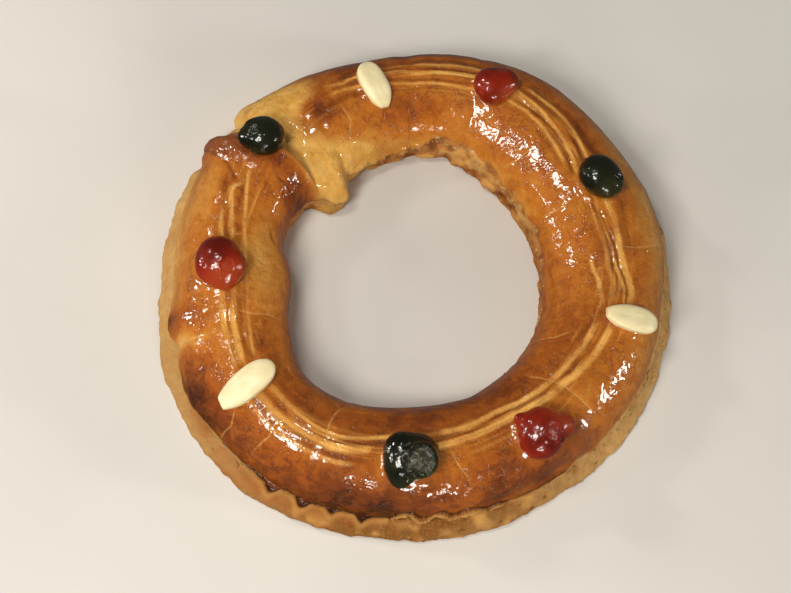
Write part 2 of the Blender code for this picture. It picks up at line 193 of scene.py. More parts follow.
# Cracks in the crust, each as points (angle, distance across the crown), with its half-width.
CRACKS = (
    (((326.4, -20.5), (329.5, -15), (333.7, -10)), 0.45),
    (((308.7, -12), (311.5, -6.5), (314.4, 0), (315.2, 7), (315.9, 14), (316.4, 19)), 0.5),
    (((272.9, 2), (274, 6.5), (275.3, 11), (277.3, 15)), 0.45), (((170.4, -0.5), (169.9, -5.5)), 0.4),
    (((193.8, -3.2), (195.6, -10), (196.7, -16.4), (198.6, -21)), 0.45),
    (((225.3, 17), (226.2, 11), (225.5, 6), (226.2, 1.5)), 0.5),
    (((238, -1), (236.7, -6.5), (236.1, -11.8), (236.8, -17)), 0.5),
    (((6.1, 2), (5.7, 9), (5.9, 14.5), (7.6, 25)), 0.4), (((26.6, -24), (25.7, -19), (25.9, -13)), 0.45),
    (((195.2, 22.5), (196.2, 18), (197.2, 12.5)), 0.8), (((289.5, 5.5), (291, 9.5)), 0.4),
    (((176, -10), (178.5, -16), (177, -21)), 0.4), (((349, 9), (350.5, 15), (348.5, 20)), 0.35),
    (((53, -26), (50.5, -21), (49.5, -15.5)), 0.4), (((117, -20), (114, -13), (115, -6)), 0.4),
    (((215.5, 12), (218, 17), (217, 22)), 0.35),
)
# Dark seams, in the same form.
SEAMS = (
    (((146.6, 22), (147.8, 18), (149.3, 13.5), (151.2, 9.5), (153, 6), (154.6, 3)), 0.75),
    (((141, -23), (143, -24.5), (145, -27), (147, -30)), 0.6),
    (((149, -13), (151, -17), (152, -22), (155, -27)), 0.8), (((146.5, -9), (147.5, -13), (147, -17)), 0.6),
    (((164, -16.5), (167.5, -18.5), (169, -20.5)), 0.5),
)
SEAM_DEPTH = 0.5
CRACK_DEPTH = 0.30
# Films of syrup from the cherries and of melted glaze: angle, across, half-width in degrees, half-width
# across, height, how dark.
SYRUP_FILMS = (
    (146.2, 12.5, 3.6, 9, 0.9, 0.85), (309.5, 21, 4, 6.5, 0.9, 0.85), (302, 22.5, 5, 2.6, 0.5, 0.5),
    (22.8, 10.5, 1.7, 3.6, 0.7, 0.3), (256, 9.5, 1.6, 4, 0.5, 0.4),
)
# The fork's fine streaks: how deep, how far from the crown, how long and wide the coarse and fine ones are.
COMB_DEPTH = 0.06
COMB_REACH = 11.0
COMB_COARSE = (16.0, 0.9)
COMB_FINE = (9.0, 0.5)
COMB_FINE_SHARE = 0.6
# Gentle swellings of the crust: angle, across, half-width in degrees, half-width across, height.
SWELLS = (
    (190, 20, 4.5, 3.8, 2.3), (206, 21.5, 6, 4, 2), (228, 25, 9, 4, 1), (150, -15, 4, 4, 0.9),
    (268, 22, 14, 4, 0.8),
)
# Places where the glaze has baked into wrinkles, in the same form.
WRINKLED = (
    (151, -19, 4.5, 7, 1), (145.8, 9, 3, 8, 0.5), (206, 21, 6, 6, 0.5), (189.5, 23, 2, 4, 0.35),
    (296, 20, 9, 5, 0.4), (266, 18, 12, 5, 0.45), (123, -9, 7, 11, 0.55), (226, 12, 7, 6, 0.22),
    (103, -15, 4, 5, 0.45),
)
# Places where the glaze lies thin: angle, across, half-width in degrees, half-width across, how thin.
THIN_GLAZE = ((86, -17, 6, 7, 1), (203, 5, 13, 9, 0.6))
# Places where the glaze has run smooth, in the same form.
EVEN_GLAZE = (
    (47.7, -16.5, 6, 6.5, 0.9), (61, -13, 4, 4.5, 0.8), (30, -10.5, 6, 4.5, 0.85),
    (192.5, 16.5, 4, 3.4, 0.85),
)
# The flap's outer corner swells outwards at the joint: angle, reach, half-width in degrees.
JOINT_LOBE = (146.8, 4.5, 3.2)
CRACK_STEP = 0.8
CRACK_REACH = 4.0
CRACK_FAR = 40.0
CRACK_WAVER = 0.45
CRACK_WAVER_SIZE = 3.0
CRACKS_APART = 9.0
CRACK_END = 0.35
CRACK_TAPER = 2.5
# Creases where the roll is pinched in: angle, depth, half-width in degrees.
CREASES = (
    (91.8, 0.5, 1.6), (72.5, 0.35, 1.4), (196, 0.4, 1.8), (26.5, 0.4, 2.2), (315, 0.3, 1.6),
    (236.5, 0.3, 1.6),
)

# The outer border of the browned crust: angle, how far it runs out over the foot.
OUTER_BORDER = (
    (5, -4), (22, -5), (40, -4), (62, -1), (80, 1), (100, 1.6), (118, 0.5), (148, 3), (158, 3), (166, 1),
    (173, -2), (180, -3.4), (185.5, -2.4), (187.3, -0.4), (188.6, 0.8), (190.2, 0.6), (192.5, -1.5),
    (195, -6), (197, -4), (198.6, 0.3), (202, 0.7), (206, 0.6), (210, 0.3), (213, -0.4), (216, 0.4),
    (219, 0.9), (222, 0.4), (225, 0.2), (227, 0.8), (229, 1.4), (230.6, 1.8), (231.8, 3.8), (232.7, 4.6),
    (233.5, 3.6), (234.4, 0.6), (235.6, -1.2), (237, -1), (238.2, 0.8), (239.2, 3.6), (240.1, 4.4),
    (240.9, 3), (241.8, 0.2), (243.4, -1.3), (245, -0.2), (246.2, 2.2), (247, 2.2), (248, 0.4), (249.6, -1),
    (251.6, 0.2), (252.7, 3), (253.6, 3.8), (254.5, 2.2), (255.6, 0.6), (258, 0.4), (259.3, -0.8),
    (260.6, -5), (262.5, -7), (264.5, -6.6), (266, -2.5), (267.5, -1.6), (268.8, -4.5), (270.5, -6.8),
    (272, -6.4), (273.5, -2.8), (274.8, -1.8), (276, -4.5), (277.8, -6), (280, -5), (281.6, -3),
    (283, -0.6), (285.5, -3.5), (288, -0.8), (292, 0.2), (297, 0.6), (301, 0.2), (304.5, -2), (307.5, -7),
    (310, -5), (313, -2.5), (318, -4.5), (323, -5), (329, -5.5), (334, -5), (340, -4.6), (355, -4),
)
# How dark that border is drawn, for burnt egg wash at the edge and painted shade under the crust's edge,
# and how far it blurs: angle, share, width.
BORDER_BURN_AND_SHADE = (
    (10, 0, 3.4), (45, 0, 3.2), (70, 0.2, 2.2), (115, 0.2, 2), (150, 0, 4.4), (184, 0, 4.2),
    (188, 0.8, 0.7), (191, 0.5, 0.8), (194, 0, 1.2), (198, 0.2, 0.6), (200, 1, 0.4), (226, 0.9, 0.5),
    (235, 0.6, 0.75), (255, 0.6, 0.8), (282, 0.7, 0.75), (296, 0.7, 0.8), (306, 0.1, 2.4), (330, 0, 3.6),
    (345, 0, 3.4),
)
# Browner spots on the pale foot and on the border where it is soft: angle, height, strength, sizes.
FOOT_SPOTS = (
    (293, 8.5, 0.8, 2.2, 1.2), (299, 8.8, 0.9, 2.6, 1.4), (303.5, 9.5, 0.7, 1.5, 1.2),
    (312, 10, 0.5, 1.4, 1.6), (317, 9, 0.55, 1.2, 1), (322.5, 9.5, 0.45, 1.6, 1.2),
    (331, 10.5, 0.5, 1.2, 1.6), (336, 9, 0.35, 1.6, 1.2), (342, 8.5, 0.35, 2.4, 1),
    (266, 4.5, 0.35, 1.4, 1.6), (247, 3.5, 0.3, 3, 1.2), (222, 3, 0.25, 5, 1.6),
)
# How deep the foot's colour is: angle, share. Partly its own colour, partly painted light and shade: paler on
# the lower right, where the lamps leave it in shade, and deeper on the left, where they light it brightly.
FOOT_TONE = (
    (0, 0), (60, 0.1), (120, 0.1), (165, 0.25), (190, 0.2), (205, 0.4), (215, 0.5), (228, 0.55), (242, 0.9),
    (262, 1), (290, 0.8), (310, 0.2), (335, 0),
)
# How far the dough of the foot and of the dome has run together in their corner: angle, share.
MELTED = (
    (10, 0.9), (60, 0.9), (110, 0.8), (135, 0.8), (150, 1), (188, 1), (193, 0.8), (200, 0.25), (228, 0.15),
    (258, 0.15), (275, 0.3), (296, 0.7), (305, 1), (345, 1),
)
MELT_PASSES = 120
MELT_REACH = 8.0
MELT_MIDDLE = 1.5
MELT_LIP = (2.0, 6.0)
# Lips of pale dough that stand up against the crust, with a groove behind them: angle, height.
LIPS = ((222, 0), (230, 0.9), (257, 0.9), (262, 2), (282, 2), (288, 0.6), (296, 0))
LIP_MIDDLE = 1.3
LIP_WIDTH = 1.3
SCALLOP = 0.3
# The inner border of the crust on the wall: how far it stops above the wall's top, at a few angles.
INNER_BORDER = (
    (4, 8.5), (27, 9), (39, 7.6), (52, 9.6), (62, 12), (70, 13.5), (79, 12), (88, 7), (97, 4.2), (112, 5),
    (125, 5), (138, 4), (148, 4.5), (165, 5.5), (190, 5.5), (215, 5), (250, 4.5), (290, 5), (335, 6.5),
)
INNER_RAGGED = 1.9
INNER_BLUR = 0.9
# How lumpy the foot and the inner wall are: angle, share.
FOOT_LUMPS = (
    (10, 0.3), (60, 0.3), (150, 0.1), (200, 0.1), (232, 0.4), (252, 0.9), (290, 1), (312, 0.5), (340, 0.3),
)
FOOT_LUMPINESS = 0.55
WALL_LUMPS = ((20, 0.3), (45, 1), (120, 1), (135, 0.5), (150, 0.2), (300, 0.1), (340, 0.3))

# Browning: a base, then patches as (angle, across, half-width in degrees, half-width across, strength).
BROWN_BASE = 0.50
BROWN_PATCHES = (
    (92, 17, 22, 7, 0.4), (60, 22, 20, 7, -0.06), (46, 9, 12, 3, 0.2), (108, 9, 5, 4, 0.2),
    (92, -14, 9, 6, 0.16), (110, -4, 7, 3.5, 0.12), (117, -26, 18, 6, -0.4), (92, -27, 12, 4.5, -0.28),
    (60, -30, 22, 4, -0.25), (54, -12, 14, 6, 0.06), (14, 18, 16, 9, -0.08), (8, -14, 10, 8, 0.03),
    (262, 20, 40, 10, 0.22), (210, 21, 9, 6, 0.34), (230, 24, 14, 5, 0.42), (257, 23, 2, 4, 0.14),
    (284, 24, 4, 4, 0.2), (228, -9, 9, 5, 0.18), (268, -16, 30, 8, 0.24), (300, -14, 20, 8, 0.2),
    (287, 12, 8, 7, 0.08), (322, 9, 10, 7, -0.1), (330, 24, 22, 6, -0.16), (345, -16, 18, 9, 0.06),
    (180, 2, 24, 26, -0.06), (160, 13, 9, 6, -0.22), (168, 24, 20, 7, -0.42), (195.5, 21, 1.6, 5, -0.55),
    (197.5, 13, 1.3, 4, -0.25), (204.5, -9.2, 2.6, 2.4, 0.34), (208, -13, 6, 4, 0.14),
    (198, -15, 3.5, 5, 0.1), (189.2, 23, 1.8, 2.6, 0.55), (190.5, 17, 2.5, 5, 0.15),
    (157, 7.5, 2, 1.6, 0.22), (146, 6, 3.4, 12, 0.3), (145.5, 20, 3, 6, 0.2), (150, -20, 4, 6, 0.34),
    (180, -15, 18, 8, -0.36), (248, 20, 12, 8, 0.24), (156, -27, 6, 5, 0.24), (146, -8, 2.5, 6, 0.16),
    (166, -19, 7, 4, 0.1), (298, 23, 7, 3, 0.3), (20, 22, 32, 7, -0.34), (40, -4, 14, 8, -0.06),
    (207, 24, 6, 4, 0.16), (121, -2, 4, 7, 0.36),
)
# The unwashed tongue under the joint is pale back to this angle, at a few distances across, with a border
# that blurs more as this share is less.
PALE_BLUR = 0.45
PALE_RAGGED = 2.2
PALE_RAGGED_SIZE = 9.0
PALE_UNDER_LAP = 0.15
PALE_EDGE = (
    (-30, 106), (-24, 109), (-20, 121), (-15, 126), (-8, 128.5), (-3, 128.5), (1, 126), (5, 121.5),
    (12, 119.5), (30, 117),
)

# ---------------------------------------------------------------- the toppings, as the CAD places them
SEAT_PLACES = 12
SEAT_REACH = 0.7
ABOVE_ALL = 100.0
CHERRY_SUNK = 0.45
ALMOND_RAISED = 0.2
# Each cherry's CAD node: the angle, radius, height and width of its seat; lobes as (x, y, z, radius) from
# its middle with X to the right and Y away; pits as the same four and a depth; the side that is painted with
# a glow, as if light shone through its flesh.
CHERRIES = {
    "cherry_red_top": (
        (68, 91, 11.5, 17),
        ((-3, 0.2, 0, 6.8), (3.8, 1.4, -0.4, 5.4), (-1.8, -3.4, -1, 4.6)),
        ((2, 5.6, 4, 1.8, 0.5),),
        (0.5, -0.6),
    ),
    "cherry_green_right": (
        (27, 87, 12.5, 19),
        ((-2.2, 1.6, 0.2, 8), (1.6, -1.8, -0.4, 7)),
        ((5.4, -2.6, 5.2, 2, 0.8),),
        (0.35, -0.94),
    ),
    "cherry_red_lower": (
        (300.5, 85.5, 12, 22),
        ((-2.8, -2.4, 0, 8.6), (-1.8, 2.2, 0, 8), (7.4, 3, 0.6, 4.6), (-11.2, 5.4, -2.6, 1.7)),
        ((-0.6, 0.4, 9.6, 3.8, 0.9), (4.4, -2.6, 5.8, 1.6, 1)),
        (0.6, 0.75),
    ),
    "cherry_green_bottom": (
        (262, 87.5, 12.5, 21.5),
        ((-5.6, 5, 0.2, 6.6), (-5.8, -1.4, 0, 6.4), (1.6, 2.2, 0.6, 8.6), (-5.8, -6.8, -2.2, 3.4)),
        (
            (1.5, 0.2, 9.8, 5.6, 3), (-4.6, 1.2, 8.6, 1.4, 1.6), (-4.2, 6.4, 8, 1.6, 0.8),
            (-3, -6.6, 5.4, 1.6, 1),
        ),
        (0.35, -0.94),
    ),
    "cherry_red_left": (
        (180, 89.5, 12.5, 21.5),
        ((-0.6, 2, 0.2, 8.2), (3.6, -2.4, 0, 6.6), (-3, -2.4, -0.6, 6.4), (1.6, -7.4, -2.4, 4.2)),
        ((3.6, -4.6, 6.6, 2.8, 0.35),),
        (0.35, -0.94),
    ),
    "cherry_green_joint": (
        (141.9, 90.9, 13, 20.5),
        ((0.2, -1, 0.2, 8.2), (1.6, 0.6, 0, 7), (-7, -1.6, -1.2, 2.6)),
        ((-6, 1.6, 3.6, 1.6, 0.8), (-5, -4.4, 5, 1.5, 1)),
        (0, 0),
    ),
}
LOBE_BLEND = 3.0
LOBE_GROWN = 0.6
LOBE_FLATTENED = 0.86
PIT_RIM = 0.42
PIT_RIM_AT = 1.22
PIT_RIM_WIDTH = 0.16
PIT_FADE = 2.2
PIT_FOLDS = 0.03
PIT_UNEVEN = 0.10
CHERRY_DETAIL = 6
CHERRY_WRINKLE = 0.05
CHERRY_FAR = 24.0
HALVINGS = 26
# Each almond's CAD node: its seat, its length, where its tip points, where the tip is cut and how slantwise.
ALMONDS = {
    "almond_top": ((103, 88, 7, 12), 23.8, 289, (0.93, 0.1)),
    "almond_right": ((344.5, 89, 7, 11.5), 26.5, 166, (0.9, -0.35)),
    "almond_left": ((213.5, 96.5, 7.5, 12.5), 30, 213, (0.84, 0.25)),
}
ALMOND_FULLNESS = 3.0
ALMOND_TAPER = 0.42
ALMOND_SQUARE = 3.4
ALMOND_SLANT = 0.3
ALMOND_BLUNT = 0.12
ALMOND_WAVE = 0.16
ALMOND_WAVE_SIZE = 3.2
ALMOND_BEND = 0.6
ALMOND_BEND_RATE = 1.7
TINY = 1e-6
TINIEST = 1e-9
ALMOND_SEGMENTS = 64
ALMOND_RINGS = 56

# Glaze that gathers round a topping: how high it climbs and how far out it reaches.
POOL_RISE = 0.9
POOL_REACH = 1.6

# Flakes of pastry that stand off the foot and the inner wall, with how many there are at each angle.
FLAKES = 360
FLAKE_SEED = 7
FLAKE_SIZE = (0.8, 2.8)
FLAKE_CORNERS = 7
FLAKE_LIFT = 1.0
FLAKE_THICKNESS = 0.3
FLAKE_STRETCH = 1.7
FLAKE_NOTCHED = 0.35
FLAKE_LEAST_LIFT = 0.3
FLAKE_OFF = 0.10
FLAKE_MIDDLE = 0.16
FLAKE_TONE = 0.3
# Outside and inside: the height above which flakes start, and how far onto the crust they go; inside, also
# how far below the crust.
FLAKES_ABOVE = (1.5, 3.0)
FLAKES_BELOW = (0.2, 0.4)
FLAKES_DEEPEST = 6.0
FLAKES_OUTSIDE = (
    (0, 1), (60, 1.2), (110, 0.8), (150, 0.2), (200, 0.1), (250, 0.15), (270, 0.5), (300, 0.5), (340, 0.9),
)
FLAKES_INSIDE = ((0, 0.8), (40, 2), (90, 2.4), (125, 1.2), (150, 0.2), (200, 0.4), (250, 0.2), (320, 0.3))
FLAKE_LOOK = {"crust": -6.0, "crust_soft": 1.0, "brown": 0.45, "up": 6.0, "pale": -10.0}


# ================================================================ the CAD ring, repeated
def turned(angle, middle):
    """Degrees from middle to angle, the short way round."""
    return (angle - middle + 180.0) % 360.0 - 180.0


def hill(away, half_width=1.0, power=2):
    """1 where away is 0, falling to nothing past half_width, with a flatter top for a higher power."""
    return np.exp(-(np.abs(away / half_width) ** power))


def bump(angle, feature, squareness=2):
    """A smooth local rise at one angle: feature is its angle, its reach and its half-width."""
    middle, reach, half_width = feature
    return reach * hill(turned(angle, middle), half_width, squareness)


def station(column, angle):
    """One column of STATIONS at any angle, by a smooth curve through the rows that closes on itself."""
    values = np.array([row[column] for row in STATIONS])
    place = (angle / STATION_STEP) % len(values)
    first = np.floor(place).astype(int)
    t = place - first
    before, here, after, beyond = (values[(first + k) % len(values)] for k in (-1, 0, 1, 2))
    slope_here = (after - before) / 2
    slope_after = (beyond - here) / 2
    return (
        (2 * t**3 - 3 * t**2 + 1) * here
        + (t**3 - 2 * t**2 + t) * slope_here
        + (3 * t**2 - 2 * t**3) * after
        + (t**3 - t**2) * slope_after
    )


def smooth_step(value, low, high):
    t = np.clip((value - low) / (high - low), 0.0, 1.0)
    return t * t * (3 - 2 * t)


def from_lap(angle):
    """Degrees from the lapping edge, positive on the end that lies on top."""
    return turned(angle, LAP_ANGLE)


def ring_sizes(angle):
    """Inner, crown and outer radius, crown height and reach of the foot at each angle."""
    inner = station(0, angle) + bump(angle, INNER_LOBE, squareness=4)
    crown = station(1, angle)
    outer = station(2, angle) + sum(bump(angle, feature) for feature in OUTER_FEATURES)
    away = from_lap(angle)
    flattened = np.where(away < 0, smooth_step(away, -TONGUE_FLATTENED, -LAP_EDGE), 1.0)
    dropped = flattened * (1.0 - smooth_step(away, -LAP_EDGE, LAP_EDGE))
    height = station(3, angle) - LAP_STEP * dropped
    foot = FOOT_REACH + FOOT_SWING * np.cos(np.radians(angle - FOOT_WIDEST))
    return inner, crown, outer, height, foot


def dome(reach, base, height, fullness, turn):
    """Radius from the crown and height on one side of the dome, turn going from 0 at its base to 90."""
    power = 2.0 / fullness
    across = reach * np.cos(np.radians(turn)) ** power
    up = base + (height - base) * np.sin(np.radians(turn)) ** power
    return across, up


def stretch_curve(stretch, sizes):
    """Radius and height along one stretch of the section: a row for each step, a column for each angle."""
    inner, crown, outer, height, foot = sizes
    t = np.linspace(0.0, 1.0, CURVE_STEPS)[:, None]
    if stretch == "foot":
        corner = np.radians(90.0 * np.clip(t / FOOT_CORNER, 0, 1))
        top = np.radians(90.0 * np.clip((t - FOOT_CORNER) / (1.0 - FOOT_CORNER), 0, 1))
        radius = np.where(
            t <= FOOT_CORNER,
            outer - FOOT_ROUND * (1 - np.sin(corner)),
            outer - foot * (1 - np.cos(top)),
        )
        up = FOOT_ROUND * (1 - np.cos(corner)) + (FOOT_TOP - FOOT_ROUND) * np.sin(top)
        return radius, up + 0 * outer
    if stretch == "outer":
        across, up = dome(outer - foot + CRUST_BULGE - crown, CRUST_EDGE, height, OUTER_FULLNESS, 90.0 * t)
        return crown + across, up
    if stretch == "inner":
        across, up = dome(crown - inner, INNER_WALL, height, INNER_FULLNESS, 90.0 * (1 - t))
        return crown - across, up
    if stretch == "wall":
        turn = np.radians(90.0 * t)
        return inner + INNER_UNDERCUT * (1 - np.cos(turn)), INNER_WALL * (1 - np.sin(turn)) + 0 * inner
    low, high = inner + INNER_UNDERCUT, outer - FOOT_ROUND
    return low + (high - low) * t, 0 * low + 0 * t


def column_angles(count):
    """Angles of the columns, closer together round the joint."""
    fine = np.linspace(0.0, 360.0, ANGLE_STEPS + 1)
    density = 1.0 + COLUMNS_AT_JOINT * hill(from_lap(fine), COLUMNS_JOINT_REACH)
    spent = np.concatenate([[0.0], np.cumsum((density[1:] + density[:-1]) / 2)])
    return np.interp(np.linspace(0.0, spent[-1], count, endpoint=False), spent, fine)


def leaning(angle, radius, sizes):
    """Real angle of a point: near the joint the columns bend, so that they follow the lapping edge."""
    inner, outer = sizes[0], sizes[2]
    side = 2.0 * (radius - inner) / (outer - inner) - 1.0
    width = np.where(side < LAP_BULGE_AT, LAP_BULGE_WIDTH_INSIDE, LAP_BULGE_WIDTH)
    bulge = LAP_BULGE * hill(side - LAP_BULGE_AT, width)
    return angle + bulge * hill(from_lap(angle), LAP_BULGE_REACH)


def spaced(radius, up, count, first, last, crown):
    """The same curve with its points evenly spaced along it, but closer together at its crown end, 0 or 1."""
    steps = np.hypot(np.diff(radius, axis=0), np.diff(up, axis=0))
    spent = np.concatenate([np.zeros((1, radius.shape[1])), np.cumsum(steps, axis=0)])
    share = np.linspace(first, last, count)
    out = np.empty((count, radius.shape[1], 3))
    for column in range(radius.shape[1]):
        along = np.linspace(0.0, spent[-1, column], ALONG_STEPS)
        from_crown = np.abs(along - along[-1] * crown) if crown is not None else FAR + 0 * along
        density = 1.0 + ROWS_AT_CROWN * hill(from_crown, ROWS_CROWN_REACH, 4)
        filled = np.concatenate([[0.0], np.cumsum((density[1:] + density[:-1]) / 2)])
        wanted = np.interp(share, filled / filled[-1], along)
        out[:, column, 0] = np.interp(wanted, spent[:, column], radius[:, column])
        out[:, column, 1] = np.interp(wanted, spent[:, column], up[:, column])
        out[:, column, 2] = wanted
    return out, spent[-1]


class Ring:
    """The ring's smooth surface as a grid, columns by rows, with where each point is on the section."""

    def __init__(self, count):
        self.column_angle = column_angles(count)
        self.sizes = ring_sizes(self.column_angle)
        radius, up, along, begins, total = [], [], [], {}, np.zeros(count)
        self.stretch = []
        for stretch, rows in ROWS.items():
            curve = stretch_curve(stretch, self.sizes)
            first = 0.0 if stretch == "foot" else 1.0 / (rows + 1)
            last = 1.0 if stretch != "floor" else 1.0 - 1.0 / (rows + 1)
            points, length = spaced(*curve, rows, first, last, {"outer": 1.0, "inner": 0.0}.get(stretch))
            begins[stretch] = total.copy()
            radius.append(points[..., 0])
            up.append(points[..., 1])
            along.append(points[..., 2] + total)
            self.stretch += [stretch] * rows
            total = total + length
        self.radius = np.concatenate(radius).T
        self.up = np.concatenate(up).T
        self.along = np.concatenate(along).T
        self.stretch = np.array(self.stretch)
        self.outer_base = begins["outer"][:, None]
        self.inner_base = begins["wall"][:, None]
        self.angle = self.column_angle[:, None] + 0 * self.radius
        sizes = [size[:, None] for size in self.sizes]
        self.across = self.radius - sizes[1]
        self.real_angle = leaning(self.angle, self.radius, sizes)
        turn = np.radians(self.real_angle)
        self.points = np.stack([self.radius * np.cos(turn), self.radius * np.sin(turn), self.up], axis=-1)
        flat = self.points.reshape(-1, 3)
        self.middle = (flat.min(axis=0) + flat.max(axis=0)) / 2 * (1, 1, 0)
        self.points -= self.middle
        self.melt_corner()

    def melt_corner(self):
        """Rounds the corner between the foot and the dome."""
        smooth = self.points
        for _ in range(MELT_PASSES):
            smooth = (np.roll(smooth, 1, axis=1) + 2 * smooth + np.roll(smooth, -1, axis=1)) / 4
        near = hill(self.along - self.outer_base - MELT_MIDDLE, MELT_REACH)
        near = near * smooth_step(self.along, *MELT_LIP)
        share = at_angles(MELTED, self.angle) * near
        self.points = self.points + share[..., None] * (smooth - self.points)


def grid_normals(points):
    """Outward normals of a grid that closes on itself both ways."""
    along = np.roll(points, -1, axis=0) - np.roll(points, 1, axis=0)
    around = np.roll(points, -1, axis=1) - np.roll(points, 1, axis=1)
    normal = np.cross(along, around)
    return normal / np.maximum(np.linalg.norm(normal, axis=-1, keepdims=True), TINIEST)


# ================================================================ repeatable roughness
def lattice(cells, seed):
    """A repeatable number from -1 to 1 for each cell."""
    x, y, z = (cells[..., k].astype(np.int64) for k in range(3))
    mixed = (x * 374761393 + y * 668265263 + z * 1103515245 + seed * 1274126177) & 0xFFFFFFFF
    mixed = ((mixed ^ (mixed >> 13)) * 1274126177) & 0xFFFFFFFF
    mixed = mixed ^ (mixed >> 16)
    return mixed / 0x7FFFFFFF - 1.0


def noise(points, size, seed):
    """Smooth roughness from -1 to 1 whose bumps are about size apart."""
    place = points / size + seed * 0.37
    cell = np.floor(place)
    t = place - cell
    t = t * t * (3 - 2 * t)
    total = np.zeros(points.shape[:-1])
    for corner in itertools.product((0, 1), repeat=3):
        weight = np.prod(np.where(np.array(corner) == 1, t, 1 - t), axis=-1)
        total += weight * lattice(cell + np.array(corner), seed)
    return total


def layered(points, size, seed, octaves=3):
    """Roughness with finer roughness on it."""
    return sum(noise(points, size / 2**k, seed + k) / 2**k for k in range(octaves))


def waves(points, rows, octaves=1):
    """Several roughnesses at once, each row a size, a height and a seed."""
    return sum(height * layered(points, size, seed, octaves) for size, height, seed in rows)


def at_angles(rows, angle, column=1):
    """One column of a table of angles at any angle, round the ring, in straight runs."""
    places = np.array([row[0] for row in rows])
    values = np.array([row[column] for row in rows])
    return np.interp(angle, places, values, period=360.0)


# ================================================================ marks on the ring
def polyline(points, ring):
    """Points about a millimetre apart along a mark, in angle and distance across."""
    points = np.array(points, float)
    crown = np.interp(points[:, 0], ring.column_angle, ring.sizes[1], period=360.0)
    run = np.hypot(np.diff(points[:, 0]) * np.pi / 180.0 * (crown[1:] + points[1:, 1]), np.diff(points[:, 1]))
    spent = np.concatenate([[0.0], np.cumsum(run)])
    steps = np.linspace(0.0, spent[-1], max(int(spent[-1]), 3))
    return np.interp(steps, spent, points[:, 0]), np.interp(steps, spent, points[:, 1])


def fork_fields(ring):
    """How pale and how dark the fork's marks make each place."""
    fields = {"pale": np.zeros(ring.radius.shape), "dark": np.zeros(ring.radius.shape)}
    plan = ring.points * (1, 1, 0)
    waver = waves(plan, FORK_WAVER)
    middle, swing, size, lowest, highest = FORK_WEAR
    worn = np.clip(middle + swing * noise(plan, size, 43), lowest, highest)
    on_dome = ring.up > INNER_WALL
    mm = np.pi / 180.0 * ring.radius
    for kind, half_width, strength, points in FORK_MARKS:
        angles, acrosses = polyline(points, ring)
        angle = turned(ring.angle, angles[0]) + angles[0]
        angle = np.where(angle < angles[0] - FORK_AHEAD, angle + 360.0, angle)
        # A mark that turns back on itself is rare and short, so it is followed by angle alone.
        order = np.argsort(angles)
        centre = np.interp(angle, angles[order], acrosses[order])
        slope = np.gradient(acrosses[order], np.radians(angles[order]) * MEAN_CROWN)
        tilt = np.interp(angle, angles[order], slope)
        away = (ring.across - centre + waver) / np.sqrt(1.0 + tilt**2) / half_width
        end = np.minimum(angle - angles[order][0], angles[order][-1] - angle) * mm
        mark = strength * hill(away, power=FORK_SQUARENESS) * smooth_step(end, -FORK_END / 2, FORK_END)
        fields[kind] = np.maximum(fields[kind], mark * on_dome)
    return fields["pale"] * worn, fields["dark"] * worn


def crack_fields(ring, cracks):
    """Distance from the nearest crack as a share of its half-width, signed, and its strength."""
    crown = ring.sizes[1][:, None]
    distance = np.full(ring.radius.shape, CRACK_FAR)
    strength = np.zeros(ring.radius.shape)
    for number, (path, half_width) in enumerate(cracks):
        path = np.array(path, float)
        flat_x = turned(ring.real_angle, path[0, 0]) * (np.pi / 180.0 * (crown + ring.across))
        flat_y = ring.across
        # The crack itself is drawn on the ring's mean radius, with a little waver.
        mean = np.interp(path[0, 0], ring.column_angle, ring.sizes[1])
        corner_x = turned(path[:, 0], path[0, 0]) * np.pi / 180.0 * (mean + path[:, 1])
        corner_y = path[:, 1]
        spent = np.concatenate([[0.0], np.cumsum(np.hypot(np.diff(corner_x), np.diff(corner_y)))])
        steps = np.linspace(0.0, spent[-1], max(int(spent[-1] / CRACK_STEP), 4))
        line = [np.interp(steps, spent, corner) for corner in (corner_x, corner_y)]
        line = np.stack([*line, 0 * steps], axis=-1)
        place = np.stack([steps, 0 * steps + number * CRACKS_APART, 0 * steps], axis=-1)
        waver = noise(place, CRACK_WAVER_SIZE, 77)
        slope = np.gradient(line, axis=0)
        slope /= np.maximum(np.linalg.norm(slope, axis=-1, keepdims=True), TINIEST)
        line = line + np.stack([-slope[:, 1], slope[:, 0], 0 * steps], axis=-1) * waver[:, None] * CRACK_WAVER
        near = (np.abs(flat_x - corner_x.mean()) < np.ptp(corner_x) / 2 + CRACK_REACH) & (
            np.abs(flat_y - corner_y.mean()) < np.ptp(corner_y) / 2 + CRACK_REACH
        )
        near &= ring.up > FOOT_TOP
        px, py = flat_x[near], flat_y[near]
        best = np.full(px.shape, FAR)
        signed = np.zeros(px.shape)
        reached = np.zeros(px.shape)
        for k in range(len(line) - 1):
            run = line[k + 1, :2] - line[k, :2]
            length = np.hypot(*run)
            run = run / length
            t = np.clip((px - line[k, 0]) * run[0] + (py - line[k, 1]) * run[1], 0.0, length)
            dx, dy = px - line[k, 0] - t * run[0], py - line[k, 1] - t * run[1]
            away = np.hypot(dx, dy)
            closer = away < best
            best = np.where(closer, away, best)
            signed = np.where(closer, away * np.sign(run[0] * dy - run[1] * dx), signed)
            reached = np.where(closer, steps[k] + t, reached)
        end = np.minimum(reached, spent[-1] - reached)
        open_share = CRACK_END + (1.0 - CRACK_END) * smooth_step(end, 0.0, CRACK_TAPER)
        power = open_share * (best < CRACK_REACH)
        take = best / half_width < np.abs(distance[near])
        distance[near] = np.where(take, signed / half_width, distance[near])
        strength[near] = np.where(take, power, strength[near])
    return np.clip(distance, -FIELD_LIMIT, FIELD_LIMIT), strength


